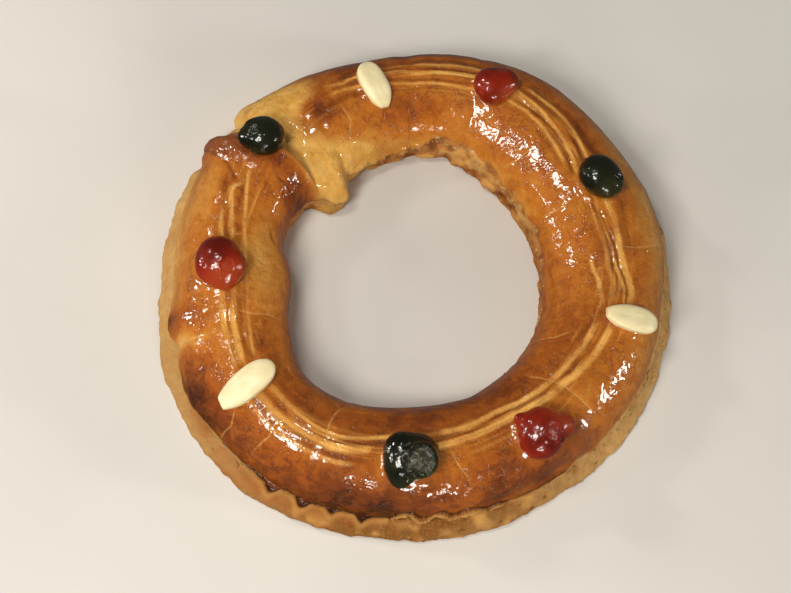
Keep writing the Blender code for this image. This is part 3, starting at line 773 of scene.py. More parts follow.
def crust_fields(ring):
    """Distance onto the browned crust from its nearest border, negative off it, its blur, and how dark its
    outer border is drawn: burnt egg wash and painted shade.
    """
    angle = ring.angle
    scallops = SCALLOP * waves(ring.points * (1, 1, 0), SCALLOP_WAVES)
    outer = ring.along - ring.outer_base + at_angles(OUTER_BORDER, angle) + scallops
    stops = at_angles(INNER_BORDER, angle) + INNER_RAGGED * layered(ring.points, 7.0, 21)
    inner = ring.inner_base - ring.along - stops
    crust = np.minimum(outer, inner)
    soft = np.where(inner < outer, INNER_BLUR, at_angles(BORDER_BURN_AND_SHADE, angle, 2))
    burn_and_shade = np.where(inner < outer, 0.0, at_angles(BORDER_BURN_AND_SHADE, angle, 1))
    return np.clip(crust, -40, 40), soft, burn_and_shade


def brown_field(ring):
    """How browned the crust is, from 0, pale gold, to 1, nearly burnt."""
    brown = np.full(ring.radius.shape, BROWN_BASE)
    brown += sum(patches(ring, BROWN_PATCHES))
    for angle, height, strength, half_angle, half_height in FOOT_SPOTS:
        near = (turned(ring.angle, angle) / half_angle) ** 2 + ((ring.up - height) / half_height) ** 2
        brown += strength * np.exp(-near) * (ring.across > 0)
    return brown + waves(ring.points, BROWN_WAVES, octaves=3)


def pale_field(ring):
    """Degrees into the unwashed tongue from its border, positive on the tongue."""
    border = np.interp(ring.across, [row[0] for row in PALE_EDGE], [row[1] for row in PALE_EDGE])
    border = border + PALE_RAGGED * layered(ring.points, PALE_RAGGED_SIZE, 51)
    into = np.minimum((ring.angle - border) * PALE_BLUR, LAP_ANGLE - ring.angle + PALE_UNDER_LAP)
    return np.clip(into, -FIELD_LIMIT, FIELD_LIMIT)


# ================================================================ the ring's relief
def pool_height(ring, seats):
    """How high the glaze stands where it gathers round the toppings."""
    rise = np.zeros(ring.radius.shape)
    up = ring.points[..., 2] > INNER_WALL
    for point, half_width in seats:
        away = np.hypot(ring.points[..., 0] - point[0], ring.points[..., 1] - point[1]) - half_width
        rise = np.maximum(rise, hill(np.maximum(away, 0), POOL_REACH) * up)
    return rise


def patch_distance(ring, patch):
    """Distance from the middle of a patch, as a share of its half-widths in degrees and across."""
    angle, across, half_angle, half_across = patch[:4]
    return np.hypot(turned(ring.angle, angle) / half_angle, (ring.across - across) / half_across)


def patches(ring, rows, power=2):
    """What each patch of a table adds: its last value, falling away from its middle."""
    return [row[-1] * hill(patch_distance(ring, row), power=power) for row in rows]


def strongest(ring, rows):
    """The share of the strongest patch at each place."""
    return np.maximum.reduce(patches(ring, rows, power=4))


def syrup_field(ring):
    """Where a film of syrup or melted glaze lies, from 0 to 1, and how high it stands."""
    share, rise = np.zeros(ring.radius.shape), np.zeros(ring.radius.shape)
    wobble = 1.0 + waves(ring.points, FILM_WOBBLE)
    for row in SYRUP_FILMS:
        height, dark = row[4:]
        film = hill(patch_distance(ring, row) * wobble, power=4) * (ring.up > INNER_WALL)
        share, rise = np.maximum(share, dark * film), np.maximum(rise, height * film)
    return share, rise


def comb_field(ring):
    """Fine streaks that run round the ring where the fork passed."""
    along = np.radians(ring.angle) * ring.radius
    coarse, fine = (
        np.stack([along / length, ring.across / width, 0 * along + layer], axis=-1)
        for (length, width), layer in ((COMB_COARSE, 0.0), (COMB_FINE, 7.0))
    )
    near = hill(ring.across, COMB_REACH, 4) * (ring.up > INNER_WALL)
    return near * (noise(coarse, 1.0, 65) + COMB_FINE_SHARE * noise(fine, 1.0, 66))


# Where the relief of the dome, the crust's step and the torn dough set in: heights, low and high.
DOME_FROM = (6.0, 12.0)
STEP_FROM = (5.0, 7.5)
TORN_FROM = (0.3, 1.5)
CRUST_STEP = 0.55
CRACK_SPREAD = 1.3
SEAM_SPREAD = 1.4
WRINKLE_SIZE = 3.4
# How high a film of syrup stands against its table: its middle, swing and size.
FILM_SWELL = (0.8, 0.5, 2.2)
# The unwashed tongue's folds and swells, and where they set in, in degrees from its border.
TONGUE_FROM = (-1.0, 2.0)
TONGUE_FOLDS = 0.30
TONGUE_SWELL = 0.25
TONGUE_SWELL_SIZE = 8.0
CREASE_WANDER = 1.5
CREASE_SIZE = 14.0
# The groove behind the lips: its middle, half-width and depth.
LIP_GROOVE = (0.7, 0.9, 0.6)
# The leaves of the torn dough: how far apart, how far and at what size they wander, how high on the wall and
# on the foot.
LEAVES_APART = 1.9
LEAVES_WANDER = (1.6, 12.0)
LEAVES_HEIGHT = (0.28, 0.16)
# Coarse roughness of the torn dough on the wall and on the foot, its fine roughness, and the ledge where the
# wall meets the crust: its middle, half-width and height.
TORN_COARSE = (0.55, 0.50)
TORN_SIZE = 5.0
TORN_FINE = 0.22
TORN_FINE_SIZE = 2.0
WALL_LEDGE = (0.8, 1.0, 0.5)
# How far above the inner wall's top the dough is torn.
INNER_TEAR = 12.0


def torn_inside(ring):
    return ring.along > ring.inner_base - INNER_TEAR


def relief(ring, fields, seats):
    """Height to add along the normal: dough, fork lines, cracks, crust and flakes."""
    points = ring.points
    pale_mark, dark_mark = fields["fork"]
    crust, soft = fields["crust"][:2]
    on_crust = smooth_step(crust, -soft, soft)
    top = smooth_step(ring.up, *DOME_FROM)
    height = top * waves(points, DOME_WAVES)
    rough = on_crust * (1.0 - strongest(ring, EVEN_GLAZE))
    height += rough * waves(points, CRUST_WAVES)
    height -= PALE_DEPTH * pale_mark + DARK_DEPTH * dark_mark
    for mark, spread, depth in (("crack", CRACK_SPREAD, CRACK_DEPTH), ("seam", SEAM_SPREAD, SEAM_DEPTH)):
        away, power = fields[mark]
        height -= depth * power * hill(away, spread)
    middle, swing, size = FILM_SWELL
    height += COMB_DEPTH * fields["comb"] + fields["syrup"][1] * (middle + swing * noise(points, size, 67))
    tongue = smooth_step(fields["pale"], *TONGUE_FROM) * on_crust
    folds = TONGUE_FOLDS * layered(points, WRINKLE_SIZE, 91)
    height += tongue * (folds + TONGUE_SWELL * noise(points, TONGUE_SWELL_SIZE, 95))
    height += sum(patches(ring, SWELLS))
    wrinkled = on_crust * layered(points, WRINKLE_SIZE, 97, octaves=2)
    height += sum(patches(ring, WRINKLED, power=4)) * wrinkled
    for angle, depth, half_width in CREASES:
        wander = turned(ring.angle, angle) + CREASE_WANDER * noise(points, CREASE_SIZE, 61)
        height -= top * depth * hill(wander, half_width)
    lips = at_angles(LIPS, ring.angle) * (ring.across > 0)
    height += CRUST_STEP * on_crust * smooth_step(ring.up, *STEP_FROM) * (1 - np.minimum(lips, 1.0))
    height += lips * hill(crust + LIP_MIDDLE, LIP_WIDTH)
    middle, half_width, depth = LIP_GROOVE
    height -= depth * lips * hill(crust - middle, half_width)
    height += POOL_RISE * pool_height(ring, seats)
    off_crust = (1.0 - on_crust) * smooth_step(ring.up, *TORN_FROM)
    inside = torn_inside(ring)
    reach, size = LEAVES_WANDER
    leaves = np.sin((points[..., 2] + reach * noise(points, size, 71)) * 2 * np.pi / LEAVES_APART)
    leaves *= 0.6 + 0.4 * noise(points, TORN_SIZE, 72)
    height += off_crust * np.where(inside, *LEAVES_HEIGHT) * leaves
    height += off_crust * np.where(inside, *TORN_COARSE) * layered(points, TORN_SIZE, 73)
    height += off_crust * TORN_FINE * layered(points, TORN_FINE_SIZE, 74, octaves=2)
    height += lumps(ring, crust)
    middle, half_width, rise = WALL_LEDGE
    height += rise * at_angles(WALL_LUMPS, ring.angle) * inside * hill(crust - middle, half_width)
    return height


# Lumps fade out over these distances onto the crust, on the wall and on the foot; on the foot they set in at
# these heights.
WALL_LUMPS_TO = (-1.5, 3.0)
FOOT_LUMPS_TO = (-1.0, 1.0)
FOOT_LUMPS_FROM = (0.5, 2.5)


def lumps(ring, crust):
    """How far the lumps of the foot and of the torn inner wall stand out."""
    share = at_angles(WALL_LUMPS, ring.angle) * torn_inside(ring) * (1.0 - smooth_step(crust, *WALL_LUMPS_TO))
    outside = smooth_step(ring.up, *FOOT_LUMPS_FROM) * (1.0 - smooth_step(crust, *FOOT_LUMPS_TO))
    outside = (ring.across > 0) * outside
    share = share + FOOT_LUMPINESS * at_angles(FOOT_LUMPS, ring.angle) * outside
    return share * waves(ring.points, LUMP_WAVES)


# The foot's uneven edge: the heights between which it is pushed, how far and at what size, and its notches,
# as depth, size and how rare they are.
FOOT_PUSHED_FROM = (0.0, 1.2)
FOOT_PUSHED_TO = (6.0, 9.0)
FOOT_PUSH = (0.5, 7.0)
FOOT_NOTCHES = (0.7, 3.1, 0.45)
# Where the flap's corner sets in: heights, and distances across.
LOBE_FROM = (8.0, 14.0)
LOBE_ACROSS = (4.0, 16.0)


def push_foot(ring, points):
    """The foot's outer edge isn't even: it is pushed out and in, with small torn notches."""
    plan = points * (1, 1, 0)
    low = smooth_step(ring.up, *FOOT_PUSHED_FROM) * (1 - smooth_step(ring.up, *FOOT_PUSHED_TO))
    low = low * (ring.across > 0)
    push, size = FOOT_PUSH
    notch, notch_size, rare = FOOT_NOTCHES
    tear = layered(plan, size, 81) * push - notch * np.maximum(noise(plan, notch_size, 85) - rare, 0)
    radial = plan / np.maximum(np.linalg.norm(plan, axis=-1, keepdims=True), TINIEST)
    angle, reach, half_angle = JOINT_LOBE
    lobe = reach * hill(turned(ring.angle, angle), half_angle, 4)
    lobe = lobe * smooth_step(ring.up, *LOBE_FROM) * smooth_step(ring.across, *LOBE_ACROSS)
    return points + radial * (low * tear + lobe)[..., None]


# ================================================================ meshes
def new_mesh_object(name, points, faces):
    """A smooth-shaded object from points in millimetres."""
    mesh = bpy.data.meshes.new(name)
    mesh.from_pydata((np.asarray(points) * MM).tolist(), [], faces)
    mesh.update()
    mesh.shade_smooth()
    obj = bpy.data.objects.new(name, mesh)
    bpy.context.scene.collection.objects.link(obj)
    return obj


def grid_faces(columns, rows):
    """Faces of a grid of columns by rows that closes on itself both ways."""
    column, row = (part.ravel() for part in np.meshgrid(np.arange(columns), np.arange(rows), indexing="ij"))
    next_column, next_row = (column + 1) % columns, (row + 1) % rows
    corners = ((column, row), (next_column, row), (next_column, next_row), (column, next_row))
    return np.stack([c * rows + r for c, r in corners], axis=-1).tolist()


def add_attribute(obj, name, values):
    data = obj.data.attributes.new(name, "FLOAT", "POINT").data
    data.foreach_set("value", np.asarray(values, np.float32).ravel())


def put_on(obj, material, slot, *replaced):
    """Gives a piece its material and its place in the frame."""
    obj.data.materials.clear()
    obj.data.materials.append(material)
    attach(obj, "root")
    if replaced:
        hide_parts(*replaced)


def make_ring(ring, seats, material):
    fields = {
        "fork": fork_fields(ring),
        "crack": crack_fields(ring, CRACKS),
        "seam": crack_fields(ring, SEAMS),
        "crust": crust_fields(ring),
        "pale": pale_field(ring),
        "comb": comb_field(ring),
        "syrup": syrup_field(ring),
    }
    normals = grid_normals(ring.points)
    height = relief(ring, fields, seats)
    points = ring.points + normals * height[..., None]
    points = push_foot(ring, points)
    floor = ring.stretch == "floor"
    points[:, floor, 2] = 0.0
    points[..., 2] = np.maximum(points[..., 2], 0.0)
    columns, rows = points.shape[:2]
    obj = new_mesh_object("glazed_pastry_ring", points.reshape(-1, 3), grid_faces(columns, rows))
    for name, values in {
        "fork_pale": fields["fork"][0],
        "fork_dark": fields["fork"][1],
        "crack": fields["crack"][0],
        "crack_power": fields["crack"][1],
        "seam": fields["seam"][0],
        "seam_power": fields["seam"][1],
        "crust": fields["crust"][0],
        "crust_soft": fields["crust"][1],
        "crust_burn_and_shade": fields["crust"][2],
        "brown": brown_field(ring),
        "pale": fields["pale"],
        "comb": fields["comb"],
        "syrup": fields["syrup"][0],
        "thin_glaze": strongest(ring, THIN_GLAZE),
        "even_glaze": strongest(ring, EVEN_GLAZE),
        "tone": at_angles(FOOT_TONE, ring.angle) + 0.15 * layered(ring.points, 12.0, 68),
        "inside": 1.0 * (ring.across < 0),
        "lump": lumps(ring, fields["crust"][0]),
        "lips": at_angles(LIPS, ring.angle) * (ring.across > 0),
        "pool": pool_height(ring, seats),
        "up": points[..., 2],
    }.items():
        add_attribute(obj, name, values)
    put_on(obj, material, "baked_dough", "pastry_ring")
    make_flakes(ring, points, fields, material)


def make_flakes(ring, points, fields, material):
    """Thin torn flakes of pastry that stand off the foot and off the inner wall, as one piece."""
    chance = np.random.default_rng(FLAKE_SEED)
    crust = fields["crust"][0]
    shows = ring.stretch != "floor"
    outer = (ring.across > 0) & (ring.up > FLAKES_ABOVE[0]) & (crust < FLAKES_BELOW[0]) & shows
    inner = (ring.across < 0) & (ring.up > FLAKES_ABOVE[1]) & (crust < FLAKES_BELOW[1]) & shows
    inner &= crust > -FLAKES_DEEPEST
    weight = outer * at_angles(FLAKES_OUTSIDE, ring.angle) + inner * at_angles(FLAKES_INSIDE, ring.angle)
    share = np.cumsum(weight.ravel()) / weight.sum()
    picks = np.unravel_index(np.searchsorted(share, chance.random(FLAKES)), weight.shape)
    normals = grid_normals(points)
    corners, faces, tones = [], [], []
    for column, row in zip(*picks):
        normal = normals[column, row]
        round_ring = points[(column + 1) % len(points), row] - points[column, row]
        round_ring = round_ring / np.linalg.norm(round_ring)
        beside = np.cross(normal, round_ring)
        size = FLAKE_SIZE[0] + (FLAKE_SIZE[1] - FLAKE_SIZE[0]) * chance.random() ** 2
        turns = np.sort(chance.random(FLAKE_CORNERS) + np.arange(FLAKE_CORNERS)) * 2 * np.pi / FLAKE_CORNERS
        reach = size / 2 * (FLAKE_NOTCHED + (1.0 - FLAKE_NOTCHED) * chance.random(FLAKE_CORNERS))
        x, y = reach * np.cos(turns) * FLAKE_STRETCH, reach * np.sin(turns)
        lift = FLAKE_LIFT * (FLAKE_LEAST_LIFT + chance.random()) * y / size + FLAKE_OFF
        top = points[column, row] + np.outer(x, round_ring) + np.outer(y, beside) + np.outer(lift, normal)
        under = top - normal * FLAKE_THICKNESS
        middle = points[column, row] + normal * (FLAKE_MIDDLE + FLAKE_OFF * chance.random())
        start = len(corners)
        corners += [*top, *under, middle, middle - normal * FLAKE_THICKNESS]
        # The flake takes the foot's tone there, which is partly painted light and shade.
        tone = at_angles(FOOT_TONE, ring.angle[column, row]) + FLAKE_TONE * chance.random()
        tones += [tone] * (len(corners) - start)
        below, centre = start + FLAKE_CORNERS, start + 2 * FLAKE_CORNERS
        for k in range(FLAKE_CORNERS):
            after = (k + 1) % FLAKE_CORNERS
            faces.append((start + k, start + after, centre))
            faces.append((below + after, below + k, centre + 1))
            faces.append((start + k, below + k, below + after, start + after))
    obj = new_mesh_object("pastry_flakes", corners, faces)
    count = len(corners)
    for name, value in FLAKE_LOOK.items():
        add_attribute(obj, name, np.full(count, value))
    add_attribute(obj, "tone", tones)
    put_on(obj, material, "baked_dough")


# ================================================================ the toppings
def around(radius, angle):
    return Vector((radius * math.cos(math.radians(angle)), radius * math.sin(math.radians(angle)), 0.0))


def tree_of(ring):
    coarse = ring.points[::TREE_STEP, ::TREE_STEP]
    faces = grid_faces(*coarse.shape[:2])
    return BVHTree.FromPolygons(coarse.reshape(-1, 3).tolist(), faces)


def seat(tree, middle, angle, radius, width):
    """Where a topping sits, in millimetres: the point on the crust, and the direction that faces off it."""
    down = Vector((0, 0, -1))
    above = around(radius, angle) - Vector(middle) + Vector((0, 0, ABOVE_ALL))
    point = tree.ray_cast(above, down)[0]
    spokes = []
    for place in range(SEAT_PLACES):
        beside = around(width / 2 * SEAT_REACH, 360.0 * place / SEAT_PLACES)
        spokes.append(tree.ray_cast(above + beside, down)[0] - point)
    normal = Vector((0, 0, 0))
    for spoke, following in zip(spokes, spokes[1:] + spokes[:1]):
        normal += spoke.cross(following)
    return point, normal.normalized()


def frame_at(point, normal, direction):
    """Rows of axes for a seat: X towards a direction in plan, Z off the crust."""
    along = around(1.0, direction)
    along = (along - normal * along.dot(normal)).normalized()
    return np.array([along, normal.cross(along), normal]), np.array(point)


def lobes_distance(points, lobes, pits):
    """Distance outside a body made of balls run together, less round pits."""
    grown = np.zeros(points.shape[:-1])
    for *middle, radius in lobes:
        away = np.linalg.norm(points - np.array(middle), axis=-1) - radius - LOBE_GROWN
        grown += np.exp(-away / (LOBE_BLEND / 2))
    distance = -LOBE_BLEND / 2 * np.log(np.maximum(grown, 1e-30))
    return distance + pit_depth(points, pits)


def pit_depth(points, pits):
    """How deep the pits are at each place: each has a raised rim and a wrinkled floor."""
    depth = np.zeros(points.shape[:-1])
    for *middle, radius, drop in pits:
        away = np.hypot(points[..., 0] - middle[0], points[..., 1] - middle[1]) / radius
        above = smooth_step(points[..., 2], middle[2] - PIT_FADE * radius, middle[2] - radius)
        turn = np.arctan2(points[..., 1] - middle[1], points[..., 0] - middle[0])
        folds = PIT_FOLDS * np.sin(turn * 5.0 + 2.0 * np.sin(turn * 2.0)) * smooth_step(away, 0.15, 0.5)
        uneven = 1.0 + PIT_UNEVEN * np.sin(turn * 3.0 + 1.0)
        hollow = hill(away * uneven, power=8) * (1.0 + folds)
        rim = PIT_RIM * hill(away - PIT_RIM_AT, PIT_RIM_WIDTH)
        depth += above * drop * (hollow - rim)
    return depth


def unit_points(obj):
    """Places of an object's points, a row for each."""
    places = np.empty(len(obj.data.vertices) * 3)
    obj.data.vertices.foreach_get("co", places)
    return places.reshape(-1, 3)


def move_points(obj, points):
    """Puts an object's points where they are given in millimetres."""
    obj.data.vertices.foreach_set("co", (points * MM).ravel())
    obj.data.update()
    obj.data.shade_smooth()


def make_cherry(node, row, tree, middle, materials):
    """A candied cherry: lobes run together, flattened, pitted and a little wrinkled."""
    (angle, radius, height, width), lobes, pits, far = row
    _, colour, side = node.split("_")
    slot = f"{colour}_cherry"
    point, normal = seat(tree, middle, angle, radius, width)
    axes, origin = frame_at(point, normal, 0.0)
    bpy.ops.mesh.primitive_ico_sphere_add(subdivisions=CHERRY_DETAIL, radius=1.0)
    obj = bpy.context.object
    obj.name = obj.data.name = f"{slot}_{side}"
    unit = unit_points(obj)
    # Each point moves out to the skin, which halving the distance finds.
    low, high = np.zeros(len(unit)), np.full(len(unit), CHERRY_FAR)
    for _ in range(HALVINGS):
        half = (low + high) / 2
        inside = lobes_distance(unit * half[:, None], lobes, pits) < 0
        low = np.where(inside, half, low)
        high = np.where(inside, high, half)
    shape = unit * low[:, None]
    pit = pit_depth(shape, pits)
    seed = sum(map(ord, node))
    shape += unit * (CHERRY_WRINKLE * layered(shape + seed, 4.5, seed % 97))[:, None]
    shape[:, 2] = shape[:, 2] * LOBE_FLATTENED + height * CHERRY_SUNK
    move_points(obj, shape @ axes + origin)
    add_attribute(obj, "rise", shape[:, 2])
    add_attribute(obj, "pit", np.maximum(pit, 0.0))
    # far: the side that the finish paints with a glow of light shining through.
    add_attribute(obj, "far", unit[:, :2] @ np.array(far))
    put_on(obj, materials[slot], slot, node)


def almond_girth(along):
    """Half-width of an almond against its widest, along going from -1 at its round end to 1 at its point."""
    full = (1.0 - np.minimum(np.abs(along), 1.0) ** ALMOND_FULLNESS) ** 0.5
    return full * (1.0 - ALMOND_TAPER * np.maximum(along, 0.0) ** 1.5)


def make_almond(node, row, tree, middle, material):
    """A blanched almond: flat, round at one end and drawn to a blunt point, with a soft flat on top."""
    (angle, radius, thickness, width), length, direction, (reach, slant) = row
    point, normal = seat(tree, middle, angle, radius, width)
    axes, origin = frame_at(point, normal, direction)
    bpy.ops.mesh.primitive_uv_sphere_add(segments=ALMOND_SEGMENTS, ring_count=ALMOND_RINGS, radius=1.0)
    obj = bpy.context.object
    obj.name = obj.data.name = f"blanched_{node}"
    unit = unit_points(obj)
    ring_radius = np.maximum(np.hypot(unit[:, 0], unit[:, 1]), TINY)
    side, up = unit[:, 0] / ring_radius, unit[:, 1] / ring_radius
    cut = reach + slant * side * ring_radius * ALMOND_SLANT
    past_cut = unit[:, 2] > cut
    along = np.where(past_cut, cut + ALMOND_BLUNT * (unit[:, 2] - cut), unit[:, 2])
    round_girth = (1 - np.clip(unit[:, 2], -1, 1) ** 2 + TINIEST) ** 0.5
    girth = almond_girth(along) * np.clip(ring_radius / round_girth, 0, 1)
    girth = np.where(past_cut, girth * ring_radius / np.sqrt(np.maximum(1 - cut**2, TINY)), girth)
    # A flat top and a fuller side than an ellipse has.
    squared = np.abs(side) ** ALMOND_SQUARE + np.abs(up) ** ALMOND_SQUARE
    full = np.maximum(squared, TINY) ** (-1 / ALMOND_SQUARE)
    across = girth * full
    shape = np.stack([along * length, side * across * width, up * across * thickness], axis=-1) / 2
    seed = sum(map(ord, node))
    lift = ALMOND_WAVE * layered(shape * (0.35, 1, 1) + seed, ALMOND_WAVE_SIZE, seed % 89)
    shape += np.stack([0 * along, side, up], axis=-1) * (lift * girth)[:, None]
    shape[:, 1] += ALMOND_BEND * np.sin(along * ALMOND_BEND_RATE)
    shape[:, 2] += thickness * ALMOND_RAISED
    add_attribute(obj, "rim", np.abs(side) * girth)
    add_attribute(obj, "tip", along)
    move_points(obj, shape @ axes + origin)
    put_on(obj, material, "almond", node)


# ================================================================ materials
def srgb(red, green, blue):
    """A display colour from 0 to 255, as the shader's linear colour."""
    parts = [c / 255 for c in (red, green, blue)]
    return tuple(c / 12.92 if c < 0.04 else ((c + 0.055) / 1.055) ** 2.4 for c in parts) + (1.0,)


class Finish:
    """A material with short ways to add its nodes. Lengths in it are in millimetres."""

    def __init__(self, name):
        self.material = bpy.data.materials.new(name)
        self.material.use_nodes = True
        self.nodes = self.material.node_tree.nodes
        self.links = self.material.node_tree.links
        self.shader = self.nodes["Principled BSDF"]
        place = self.nodes.new("ShaderNodeTexCoord")
        scale = self.nodes.new("ShaderNodeVectorMath")
        scale.operation = "SCALE"
        scale.inputs["Scale"].default_value = 1 / MM
        self.links.new(place.outputs["Object"], scale.inputs[0])
        self.place = scale.outputs[0]

    def feed(self, socket, value):
        if isinstance(value, bpy.types.NodeSocket):
            self.links.new(value, socket)
        else:
            socket.default_value = value

    def set(self, **values):
        """Sets or links the shader's inputs, named with _ for a space."""
        for name, value in values.items():
            self.feed(self.shader.inputs[name.replace("_", " ")], value)

    def math(self, operation, *values, clamp=False):
        node = self.nodes.new("ShaderNodeMath")
        node.operation = operation
        node.use_clamp = clamp
        for socket, value in zip(node.inputs, values):
            self.feed(socket, value)
        return node.outputs[0]

    def plus(self, first, *others):
        for other in others:
            first = self.math("ADD", first, other)
        return first

    def minus(self, first, second):
        return self.math("SUBTRACT", first, second)

    def times(self, first, second, clamp=False):
        return self.math("MULTIPLY", first, second, clamp=clamp)

    def larger(self, first, second):
        return self.math("MAXIMUM", first, second)

    def attribute(self, name):
        node = self.nodes.new("ShaderNodeAttribute")
        node.attribute_name = name
        return node.outputs["Fac"]

    def noise(self, size, detail=3.0, roughness=0.55, distortion=0.0, stretch=None):
        node = self.nodes.new("ShaderNodeTexNoise")
        node.inputs["Scale"].default_value = 1.0 / size
        node.inputs["Detail"].default_value = detail
        node.inputs["Roughness"].default_value = roughness
        node.inputs["Distortion"].default_value = distortion
        self.links.new(self.stretched(stretch), node.inputs["Vector"])
        return node.outputs["Fac"]

    def cells(self, size):
        node = self.nodes.new("ShaderNodeTexVoronoi")
        node.inputs["Scale"].default_value = 1.0 / size
        self.links.new(self.place, node.inputs["Vector"])
        return node.outputs["Distance"]

    def stretched(self, stretch):
        if stretch is None:
            return self.place
        node = self.nodes.new("ShaderNodeVectorMath")
        node.operation = "MULTIPLY"
        node.inputs[1].default_value = stretch
        self.links.new(self.place, node.inputs[0])
        return node.outputs[0]

    def range(self, value, low, high, to_low=0.0, to_high=1.0, smooth=True):
        node = self.nodes.new("ShaderNodeMapRange")
        node.interpolation_type = "SMOOTHSTEP" if smooth else "LINEAR"
        for socket, number in zip(node.inputs, (value, low, high, to_low, to_high)):
            self.feed(socket, number)
        return node.outputs[0]

    def waver(self, value, reach, low=0.2):
        """A noise spread evenly from -reach to reach."""
        return self.range(value, low, 1.0 - low, -reach, reach, smooth=False)

    def hump(self, value, half_width):
        """1 where the value is 0, falling away over half_width."""
        ratio = self.math("DIVIDE", value, half_width)
        return self.math("EXPONENT", self.times(self.times(ratio, ratio), -1.0))

    def ramp(self, value, stops):
        node = self.nodes.new("ShaderNodeValToRGB")
        node.color_ramp.interpolation = "EASE"
        elements = node.color_ramp.elements
        while len(elements) < len(stops):
            elements.new(0.5)
        for element, (place, colour) in zip(elements, stops):
            element.position = place
            element.color = colour
        self.links.new(value, node.inputs["Fac"])
        return node.outputs["Color"]

    def mix(self, share, first, second):
        """A colour between two."""
        node = self.nodes.new("ShaderNodeMix")
        node.data_type = "RGBA"
        self.feed(node.inputs["Factor"], share)
        self.feed(node.inputs[6], first)
        self.feed(node.inputs[7], second)
        return node.outputs[2]

    def tint(self, colour, tinge, value, low, high, share=1.0):
        """The colour with a share of another where a value goes from low to high."""
        return self.mix(self.range(value, low, high, 0.0, share), colour, tinge)

    def stain(self, colour, tinge, field, share):
        """The colour with a share of another where a field that may pass 1 is strong."""
        return self.mix(self.times(field, share, clamp=True), colour, tinge)

    def blend(self, share, first, second):
        """A number between two."""
        node = self.nodes.new("ShaderNodeMix")
        node.data_type = "FLOAT"
        self.feed(node.inputs["Factor"], share)
        self.feed(node.inputs[2], first)
        self.feed(node.inputs[3], second)
        return node.outputs[0]

    def bump(self, height, distance):
        """A normal from a height of 0 to 1 that stands for a distance in millimetres."""
        node = self.nodes.new("ShaderNodeBump")
        node.inputs["Distance"].default_value = distance * MM
        node.inputs["Strength"].default_value = 1.0
        self.links.new(height, node.inputs["Height"])
        return node.outputs["Normal"]


BROWNING = (
    (0.00, srgb(208, 154, 78)),
    (0.22, srgb(196, 130, 50)),
    (0.42, srgb(182, 106, 28)),
    (0.60, srgb(158, 82, 18)),
    (0.80, srgb(120, 56, 10)),
    (1.00, srgb(70, 30, 6)),
)
FORK_PALE = srgb(246, 186, 96)
FORK_BROWN = srgb(108, 50, 8)
CRACK_PALE = srgb(222, 172, 98)
# Burnt egg wash, and painted shade, along the crust's outer border.
BURNT_AND_SHADE = srgb(52, 18, 4)
TONGUE_PALE = srgb(220, 172, 90)
TONGUE_GOLD = srgb(206, 148, 62)
TONGUE_ORANGE = srgb(190, 114, 44)
SYRUP = srgb(132, 72, 34)
FOOT_PALE = srgb(206, 168, 108)
FOOT_GOLD = srgb(192, 142, 82)
FOOT_BROWN = srgb(158, 94, 44)
FOOT_DEEP = srgb(128, 84, 36)
FOOT_LIP = srgb(190, 138, 74)
# WALL_LIGHT and WALL_BROWN also paint light on the lumps' tops and shade in the hollows between them.
WALL_LIGHT = srgb(218, 164, 90)
WALL_GOLD = srgb(192, 122, 50)
WALL_BROWN = srgb(132, 70, 20)


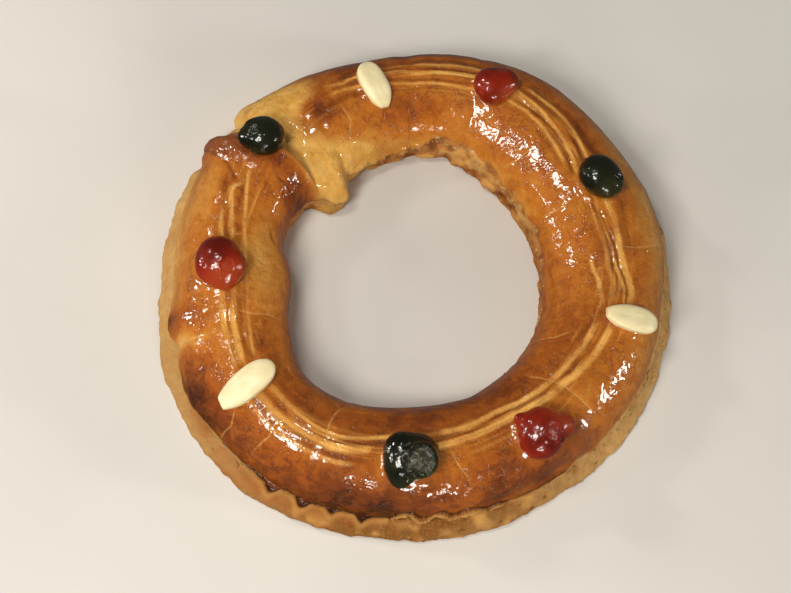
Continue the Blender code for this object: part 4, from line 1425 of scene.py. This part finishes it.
def dough_finish():
    """Browned, glazed crust; pale, dry and flaky where the egg wash did not reach."""
    f = Finish("baked_dough")
    broad = f.noise(17.0, detail=4.0, roughness=0.6)
    patchy = f.noise(5.5, detail=4.0, roughness=0.62, distortion=0.6)
    fine = f.noise(1.3, detail=3.0, roughness=0.6)
    edge, soft, inside, up = (f.attribute(name) for name in ("crust", "crust_soft", "inside", "up"))
    comb, pale_at, tone, lump = (f.attribute(name) for name in ("comb", "pale", "tone", "lump"))
    syrup, even = f.attribute("syrup"), f.attribute("even_glaze")

    brown = f.plus(f.attribute("brown"), f.waver(broad, 0.10, low=0.25), f.waver(patchy, 0.16))
    brown = f.plus(brown, f.waver(fine, 0.045))
    crust = f.ramp(brown, BROWNING)

    # The fork's marks: pale where the glaze was scraped thin, dark where it gathered.
    worn = f.range(fine, 0.2, 0.8, 0.75, 1.15, smooth=False)
    crust = f.stain(crust, FORK_BROWN, f.times(f.attribute("fork_dark"), worn), 0.85)
    crust = f.stain(crust, FORK_PALE, f.times(f.attribute("fork_pale"), worn), 0.92)
    crust = f.tint(crust, FORK_BROWN, comb, 0.25, 1.1, 0.45)
    crust = f.tint(crust, FORK_PALE, comb, -0.25, -1.1, 0.35)

    # Cracks, and the fine wrinkles of the baked egg wash.
    crack = f.times(f.hump(f.attribute("crack"), 0.75), f.attribute("crack_power"))
    crack = f.times(crack, f.range(fine, 0.35, 0.6, 0.35, 1.0))
    crust = f.stain(crust, CRACK_PALE, crack, 0.6)
    wrinkle = f.hump(f.minus(f.noise(7.0, detail=2.5, distortion=1.6), 0.5), 0.014)
    wrinkle = f.times(wrinkle, f.range(patchy, 0.40, 0.60))
    wrinkle = f.times(wrinkle, f.range(pale_at, -1.0, 2.0, 1.0, 0.05))
    crust = f.mix(f.times(wrinkle, 0.10), crust, FORK_BROWN)
    ridge = f.noise(5.0, detail=2.0, distortion=1.2, stretch=(1.0, 1.0, 1.1))
    ridge = f.times(f.hump(f.minus(ridge, 0.5), 0.012), f.range(broad, 0.50, 0.62))
    crust = f.mix(f.times(ridge, 0.22), crust, CRACK_PALE)
    seam = f.times(f.hump(f.attribute("seam"), 1.1), f.attribute("seam_power"))
    crust = f.stain(crust, FORK_BROWN, seam, 0.65)

    # The unwashed tongue.
    pale = f.range(f.plus(pale_at, f.waver(patchy, 1.2, low=0.3)), -1.6, 1.8)
    tongue = f.tint(TONGUE_PALE, TONGUE_GOLD, patchy, 0.35, 0.7)
    tongue = f.tint(tongue, TONGUE_ORANGE, brown, 0.60, 0.86, 0.9)
    tongue = f.tint(tongue, TONGUE_ORANGE, f.noise(4.2, detail=2.0), 0.60, 0.72, 0.22)
    crust = f.mix(pale, crust, tongue)
    crust = f.mix(syrup, crust, SYRUP)

    # Off the crust: leaves of pale pastry, browner in places.
    leaves = f.noise(2.2, detail=3.0, stretch=(0.35, 0.35, 2.2))
    baked = f.noise(3.6, detail=4.0, roughness=0.65, distortion=0.8)
    foot = f.tint(FOOT_PALE, FOOT_GOLD, patchy, 0.3, 0.72, 0.7)
    foot = f.mix(f.times(f.range(leaves, 0.52, 0.72), f.blend(inside, 0.16, 0.55)), foot, FOOT_BROWN)
    # tone: the foot's deeper colour round the ring, partly its own and partly painted light and shade.
    foot = f.stain(foot, FOOT_DEEP, tone, f.blend(inside, 1.0, 0.25))
    foot = f.tint(foot, FOOT_BROWN, baked, 0.50, 0.66, f.range(tone, 0.1, 0.7, 0.12, 0.5))
    foot = f.tint(foot, FOOT_LIP, fine, 0.50, 0.70, 0.40)
    wall = f.tint(WALL_GOLD, WALL_BROWN, patchy, 0.35, 0.65)
    foot = f.mix(f.times(inside, f.range(broad, 0.3, 0.7, 0.7, 0.95)), foot, wall)
    # Painted light and shade on the lumps: lighter on their tops, browner in the hollows between them.
    foot = f.tint(foot, WALL_LIGHT, lump, 0.1, 0.9, 0.75)
    foot = f.tint(foot, WALL_BROWN, lump, -0.1, -0.8, 0.75)
    foot = f.mix(f.range(up, 0.2, 1.4, 0.45, 0.0), foot, WALL_LIGHT)
    foot = f.tint(foot, TONGUE_PALE, pale_at, -1.0, 1.0, 0.6)
    foot = f.tint(foot, FOOT_BROWN, f.attribute("brown"), 0.75, 1.15, 0.85)
    lip = f.times(f.attribute("lips"), f.hump(f.plus(edge, LIP_MIDDLE + 0.6), 1.9))
    foot = f.stain(foot, FOOT_LIP, lip, 0.7)

    ragged = f.plus(edge, f.waver(fine, 0.35))
    on_crust = f.range(f.math("DIVIDE", ragged, soft), -1.0, 1.0)
    # A dark line along the crust's outer border: burnt egg wash, and painted shade where the crust's edge
    # stands over the foot.
    burn_and_shade = f.times(f.hump(f.minus(ragged, 0.5), 0.85), f.attribute("crust_burn_and_shade"))
    f.set(Base_Color=f.mix(burn_and_shade, f.mix(on_crust, foot, crust), BURNT_AND_SHADE))

    # Gloss: wet glaze on the crust and where it has run, dry pastry below it.
    glaze = f.range(f.noise(2.8, detail=3.0, roughness=0.7, distortion=1.5), 0.36, 0.46, 0.25, 1.0)
    glaze = f.times(f.larger(glaze, even), f.blend(pale, 1.0, 0.85))
    glaze = f.times(glaze, f.range(up, 13.0, 22.0, 0.35, 1.0))
    run_down = f.times(syrup, f.range(up, 18.0, 26.0, 0.3, 1.0))
    glaze = f.larger(f.times(glaze, on_crust), f.larger(f.attribute("pool"), run_down))
    damp = f.times(inside, f.range(up, 6.0, 12.0, 0.0, 0.8))
    thick = f.minus(1.0, f.attribute("thin_glaze"))
    f.set(Coat_Weight=f.times(f.larger(glaze, damp), thick), Roughness=f.blend(on_crust, 0.74, 0.42))
    f.set(Coat_Roughness=0.045, Coat_IOR=1.6, IOR=1.45, Specular_IOR_Level=0.12)
    f.set(Subsurface_Weight=0.04, Subsurface_Radius=(1.0, 0.5, 0.2), Subsurface_Scale=0.002)

    # The grain of the dough, under the glaze.
    grain = f.noise(0.55, detail=3.0, roughness=0.7)
    pores = f.times(f.range(f.cells(1.6), 0.0, 0.5), 0.25)
    bubbles = f.times(f.noise(2.4, detail=3.0, distortion=0.8), 1.1)
    crust_height = f.plus(f.times(grain, 0.35), pores, bubbles)
    crust_height = f.minus(crust_height, f.times(wrinkle, 0.5))
    foot_height = f.plus(f.times(grain, 0.8), f.times(leaves, 1.2), fine)
    f.set(Normal=f.bump(f.blend(on_crust, foot_height, crust_height), 0.42))

    # The glaze's own surface: slow waves, and ripples and blisters where it has not run smooth.
    slow = f.times(f.noise(5.0, detail=1.0, distortion=0.8), 0.8)
    broad_wave = f.times(f.noise(11.0, detail=1.0, distortion=0.6), 1.3)
    calm = f.range(f.noise(13.0, detail=2.0), 0.42, 0.60, 0.04, 0.15)
    ripple = f.times(f.noise(2.0, detail=1.5, roughness=0.5, distortion=1.6), calm)
    blister = f.times(f.range(f.cells(1.5), 0.0, 0.5, 1.0, 0.0), f.range(patchy, 0.45, 0.62, 0.0, 0.10))
    uneven = f.times(f.plus(ripple, blister), f.minus(1.0, even))
    wet = f.minus(f.plus(slow, broad_wave, uneven), f.times(wrinkle, 0.12))
    f.set(Coat_Normal=f.bump(wet, 0.40))
    return f.material


# The cherries' colours: deep, bright, a painted glow of light shining through where they are thin and on
# one side, and torn; then how far light goes in them.
CHERRY_LOOKS = {
    "red_cherry": (
        srgb(92, 16, 5), srgb(134, 30, 8), srgb(172, 72, 28), srgb(170, 66, 44), (1.0, 0.16, 0.06),
    ),
    "green_cherry": (
        srgb(13, 15, 6), srgb(25, 28, 10), srgb(46, 48, 18), srgb(78, 74, 56), (0.5, 0.6, 0.2),
    ),
}


def cherry_finish(name, deep, bright, glow, pitted, radius):
    """Candied cherry: dark, translucent and wet, with a painted glow of light where it is thin and on one
    side.
    """
    f = Finish(name)
    cloud = f.noise(11.0, detail=2.0, roughness=0.5)
    fine = f.noise(1.1, detail=2.0)
    rise, pit = f.attribute("rise"), f.attribute("pit")
    colour = f.tint(deep, bright, cloud, 0.32, 0.68)
    # Painted glow: lighter low down, where the flesh is thin, and on the side that far points to, as if light
    # shone through.
    colour = f.tint(colour, glow, rise, 4.5, 0.0, 0.4)
    colour = f.tint(colour, glow, fine, 0.55, 0.8, 0.10)
    colour = f.tint(colour, glow, f.attribute("far"), 0.15, 0.85, 0.5)
    folds = f.noise(1.3, detail=2.0, distortion=0.6, stretch=(1.0, 0.45, 1.0))
    folds = f.times(f.range(pit, 1.5, 2.5, 0.0, 0.85), f.range(folds, 0.40, 0.60, 0.35, 1.0))
    f.set(Base_Color=f.mix(folds, colour, pitted), Roughness=f.range(cloud, 0.3, 0.7, 0.26, 0.38))
    f.set(Subsurface_Weight=0.35, Subsurface_Radius=radius, Subsurface_Scale=0.003)
    f.set(Coat_Weight=f.range(rise, 1.0, 7.5, 0.08, 1.0), Coat_Roughness=0.03, Coat_IOR=1.45)
    f.set(IOR=1.4, Specular_IOR_Level=0.15)
    torn = f.times(f.noise(1.4, detail=2.0, distortion=1.0), f.range(pit, 0.2, 0.8))
    wet = f.plus(f.noise(3.6, detail=2.0, distortion=0.6), f.times(fine, 0.12), f.times(torn, 1.5))
    f.set(Coat_Normal=f.bump(wet, 0.34), Normal=f.bump(wet, 0.2))
    return f.material


ALMOND_CREAM = srgb(240, 228, 184)
ALMOND_WARM = srgb(230, 216, 168)
ALMOND_STREAK = srgb(206, 184, 132)
ALMOND_TIP = srgb(176, 136, 84)
ALMOND_RIM = srgb(190, 150, 92)


def almond_finish():
    """Blanched almond: cream, faintly streaked along its length, warmer at the rim and the tip."""
    f = Finish("almond")
    cloud = f.noise(6.0, detail=3.0)
    streaks = f.noise(0.9, detail=2.0, stretch=(0.5, 0.5, 0.5))
    colour = f.tint(ALMOND_CREAM, ALMOND_WARM, cloud, 0.3, 0.7)
    colour = f.tint(colour, ALMOND_STREAK, streaks, 0.5, 0.75, 0.16)
    colour = f.tint(colour, ALMOND_TIP, f.attribute("tip"), 0.82, 0.96, 0.35)
    colour = f.tint(colour, ALMOND_RIM, f.attribute("rim"), 0.80, 1.0, 0.42)
    f.set(Base_Color=colour, Roughness=f.range(cloud, 0.3, 0.7, 0.42, 0.52))
    f.set(Subsurface_Weight=0.25, Subsurface_Radius=(1.0, 0.7, 0.4), Subsurface_Scale=0.0025)
    f.set(Coat_Weight=0.25, Coat_Roughness=0.28)
    f.set(Normal=f.bump(f.plus(f.noise(0.7, detail=3.0), f.times(streaks, 0.6)), 0.12))
    return f.material


def floor_finish():
    f = Finish("studio_floor")
    cloud = f.noise(220.0, detail=3.0)
    f.set(Base_Color=f.ramp(cloud, ((0.3, srgb(214, 211, 206)), (0.7, srgb(222, 219, 214)))))
    f.set(Roughness=0.7, Specular_IOR_Level=0.2)
    f.set(Normal=f.bump(f.noise(1.5, detail=3.0), 0.04))
    return f.material


# ================================================================ floor, lights and camera
FLOOR_WIDTH = 4.0
# Lights: direction they come from, distance, width, height (metres) and watts.
LIGHTS = {
    "key": ((-0.46, -0.42, 0.78), 1.15, 0.25, 0.34, 6.8),
    "key_upper": ((-0.36, 0.02, 0.93), 1.15, 0.15, 0.26, 3.2),
    "left_back": ((-0.72, 0.36, 0.60), 1.2, 0.08, 0.12, 1.8),
    "left_low": ((-0.98, 0.15, 0.14), 1.2, 0.12, 0.26, 2.8),
    "left_side": ((-0.87, -0.19, 0.47), 1.2, 0.10, 0.10, 0.9),
    "front": ((0.10, -0.93, 0.28), 1.2, 0.36, 0.16, 4.6),
    "right": ((0.92, -0.20, 0.34), 1.2, 0.10, 0.22, 3.2),
}
FILL = ((0.05, 0.10, 1.0), 1.6, 1.6, 1.6, 0.7)
LIGHT_TINT = (1.0, 0.95, 0.87)
AIR = (1.0, 0.97, 0.92)
AIR_STRENGTH = 0.10


def make_light(name, direction, distance, width, height, watts):
    lamp = bpy.data.lights.new(name, "AREA")
    lamp.shape = "RECTANGLE"
    lamp.size, lamp.size_y = width, height
    lamp.energy = watts
    lamp.color = LIGHT_TINT
    obj = bpy.data.objects.new(name, lamp)
    bpy.context.scene.collection.objects.link(obj)
    away = Vector(direction).normalized()
    obj.location = away * distance
    obj.rotation_euler = away.to_track_quat("Z", "Y").to_euler()
    return obj


def make_stage():
    bpy.ops.mesh.primitive_plane_add(size=FLOOR_WIDTH)
    floor = bpy.context.object
    floor.name = "studio_floor"
    floor.data.materials.append(floor_finish())
    # The glaze mirrors the lamps, not the pale floor, which would turn its steep sides grey.
    floor.visible_glossy = False
    for name, row in LIGHTS.items():
        make_light(name, *row)
    # The fill only lifts the shade: the glaze does not mirror it.
    make_light("fill", *FILL).visible_glossy = False
    world = bpy.data.worlds.new("air")
    world.use_nodes = True
    world.node_tree.nodes["Background"].inputs["Color"].default_value = (*AIR, 1.0)
    world.node_tree.nodes["Background"].inputs["Strength"].default_value = AIR_STRENGTH
    bpy.context.scene.world = world


def make_camera(middle):
    camera = bpy.data.cameras.new("view")
    camera.lens = LENS
    camera.clip_start = 0.05
    obj = bpy.data.objects.new("view", camera)
    bpy.context.scene.collection.objects.link(obj)
    ring_middle = Vector((0, 0, VIEW_HEIGHT)) - Vector(middle)
    position = (ring_middle + Vector(VIEW_FROM).normalized() * VIEW_DISTANCE) * MM
    back = (position - Vector(VIEW_AIM) * MM).normalized()
    right = (Vector((1, 0, 0)) - back * back.x).normalized()
    facing = Matrix((right, back.cross(right), back)).transposed()
    obj.matrix_world = Matrix.Translation(position) @ facing.to_4x4()
    bpy.context.scene.camera = obj


def main():
    bpy.context.scene.view_settings.view_transform = "Standard"
    ring = Ring(COLUMNS)
    make_camera(ring.middle)
    make_stage()
    materials = {name: cherry_finish(name, *look) for name, look in CHERRY_LOOKS.items()}
    tree = tree_of(ring)
    seats = []
    for row in (*CHERRIES.values(), *ALMONDS.values()):
        angle, radius, _, width = row[0]
        seats.append((np.array(seat(tree, ring.middle, angle, radius, width)[0]), width / 2))
    make_ring(ring, seats, dough_finish())
    for node, row in CHERRIES.items():
        make_cherry(node, row, tree, ring.middle, materials)
    nut = almond_finish()
    for node, row in ALMONDS.items():
        make_almond(node, row, tree, ring.middle, nut)


main()
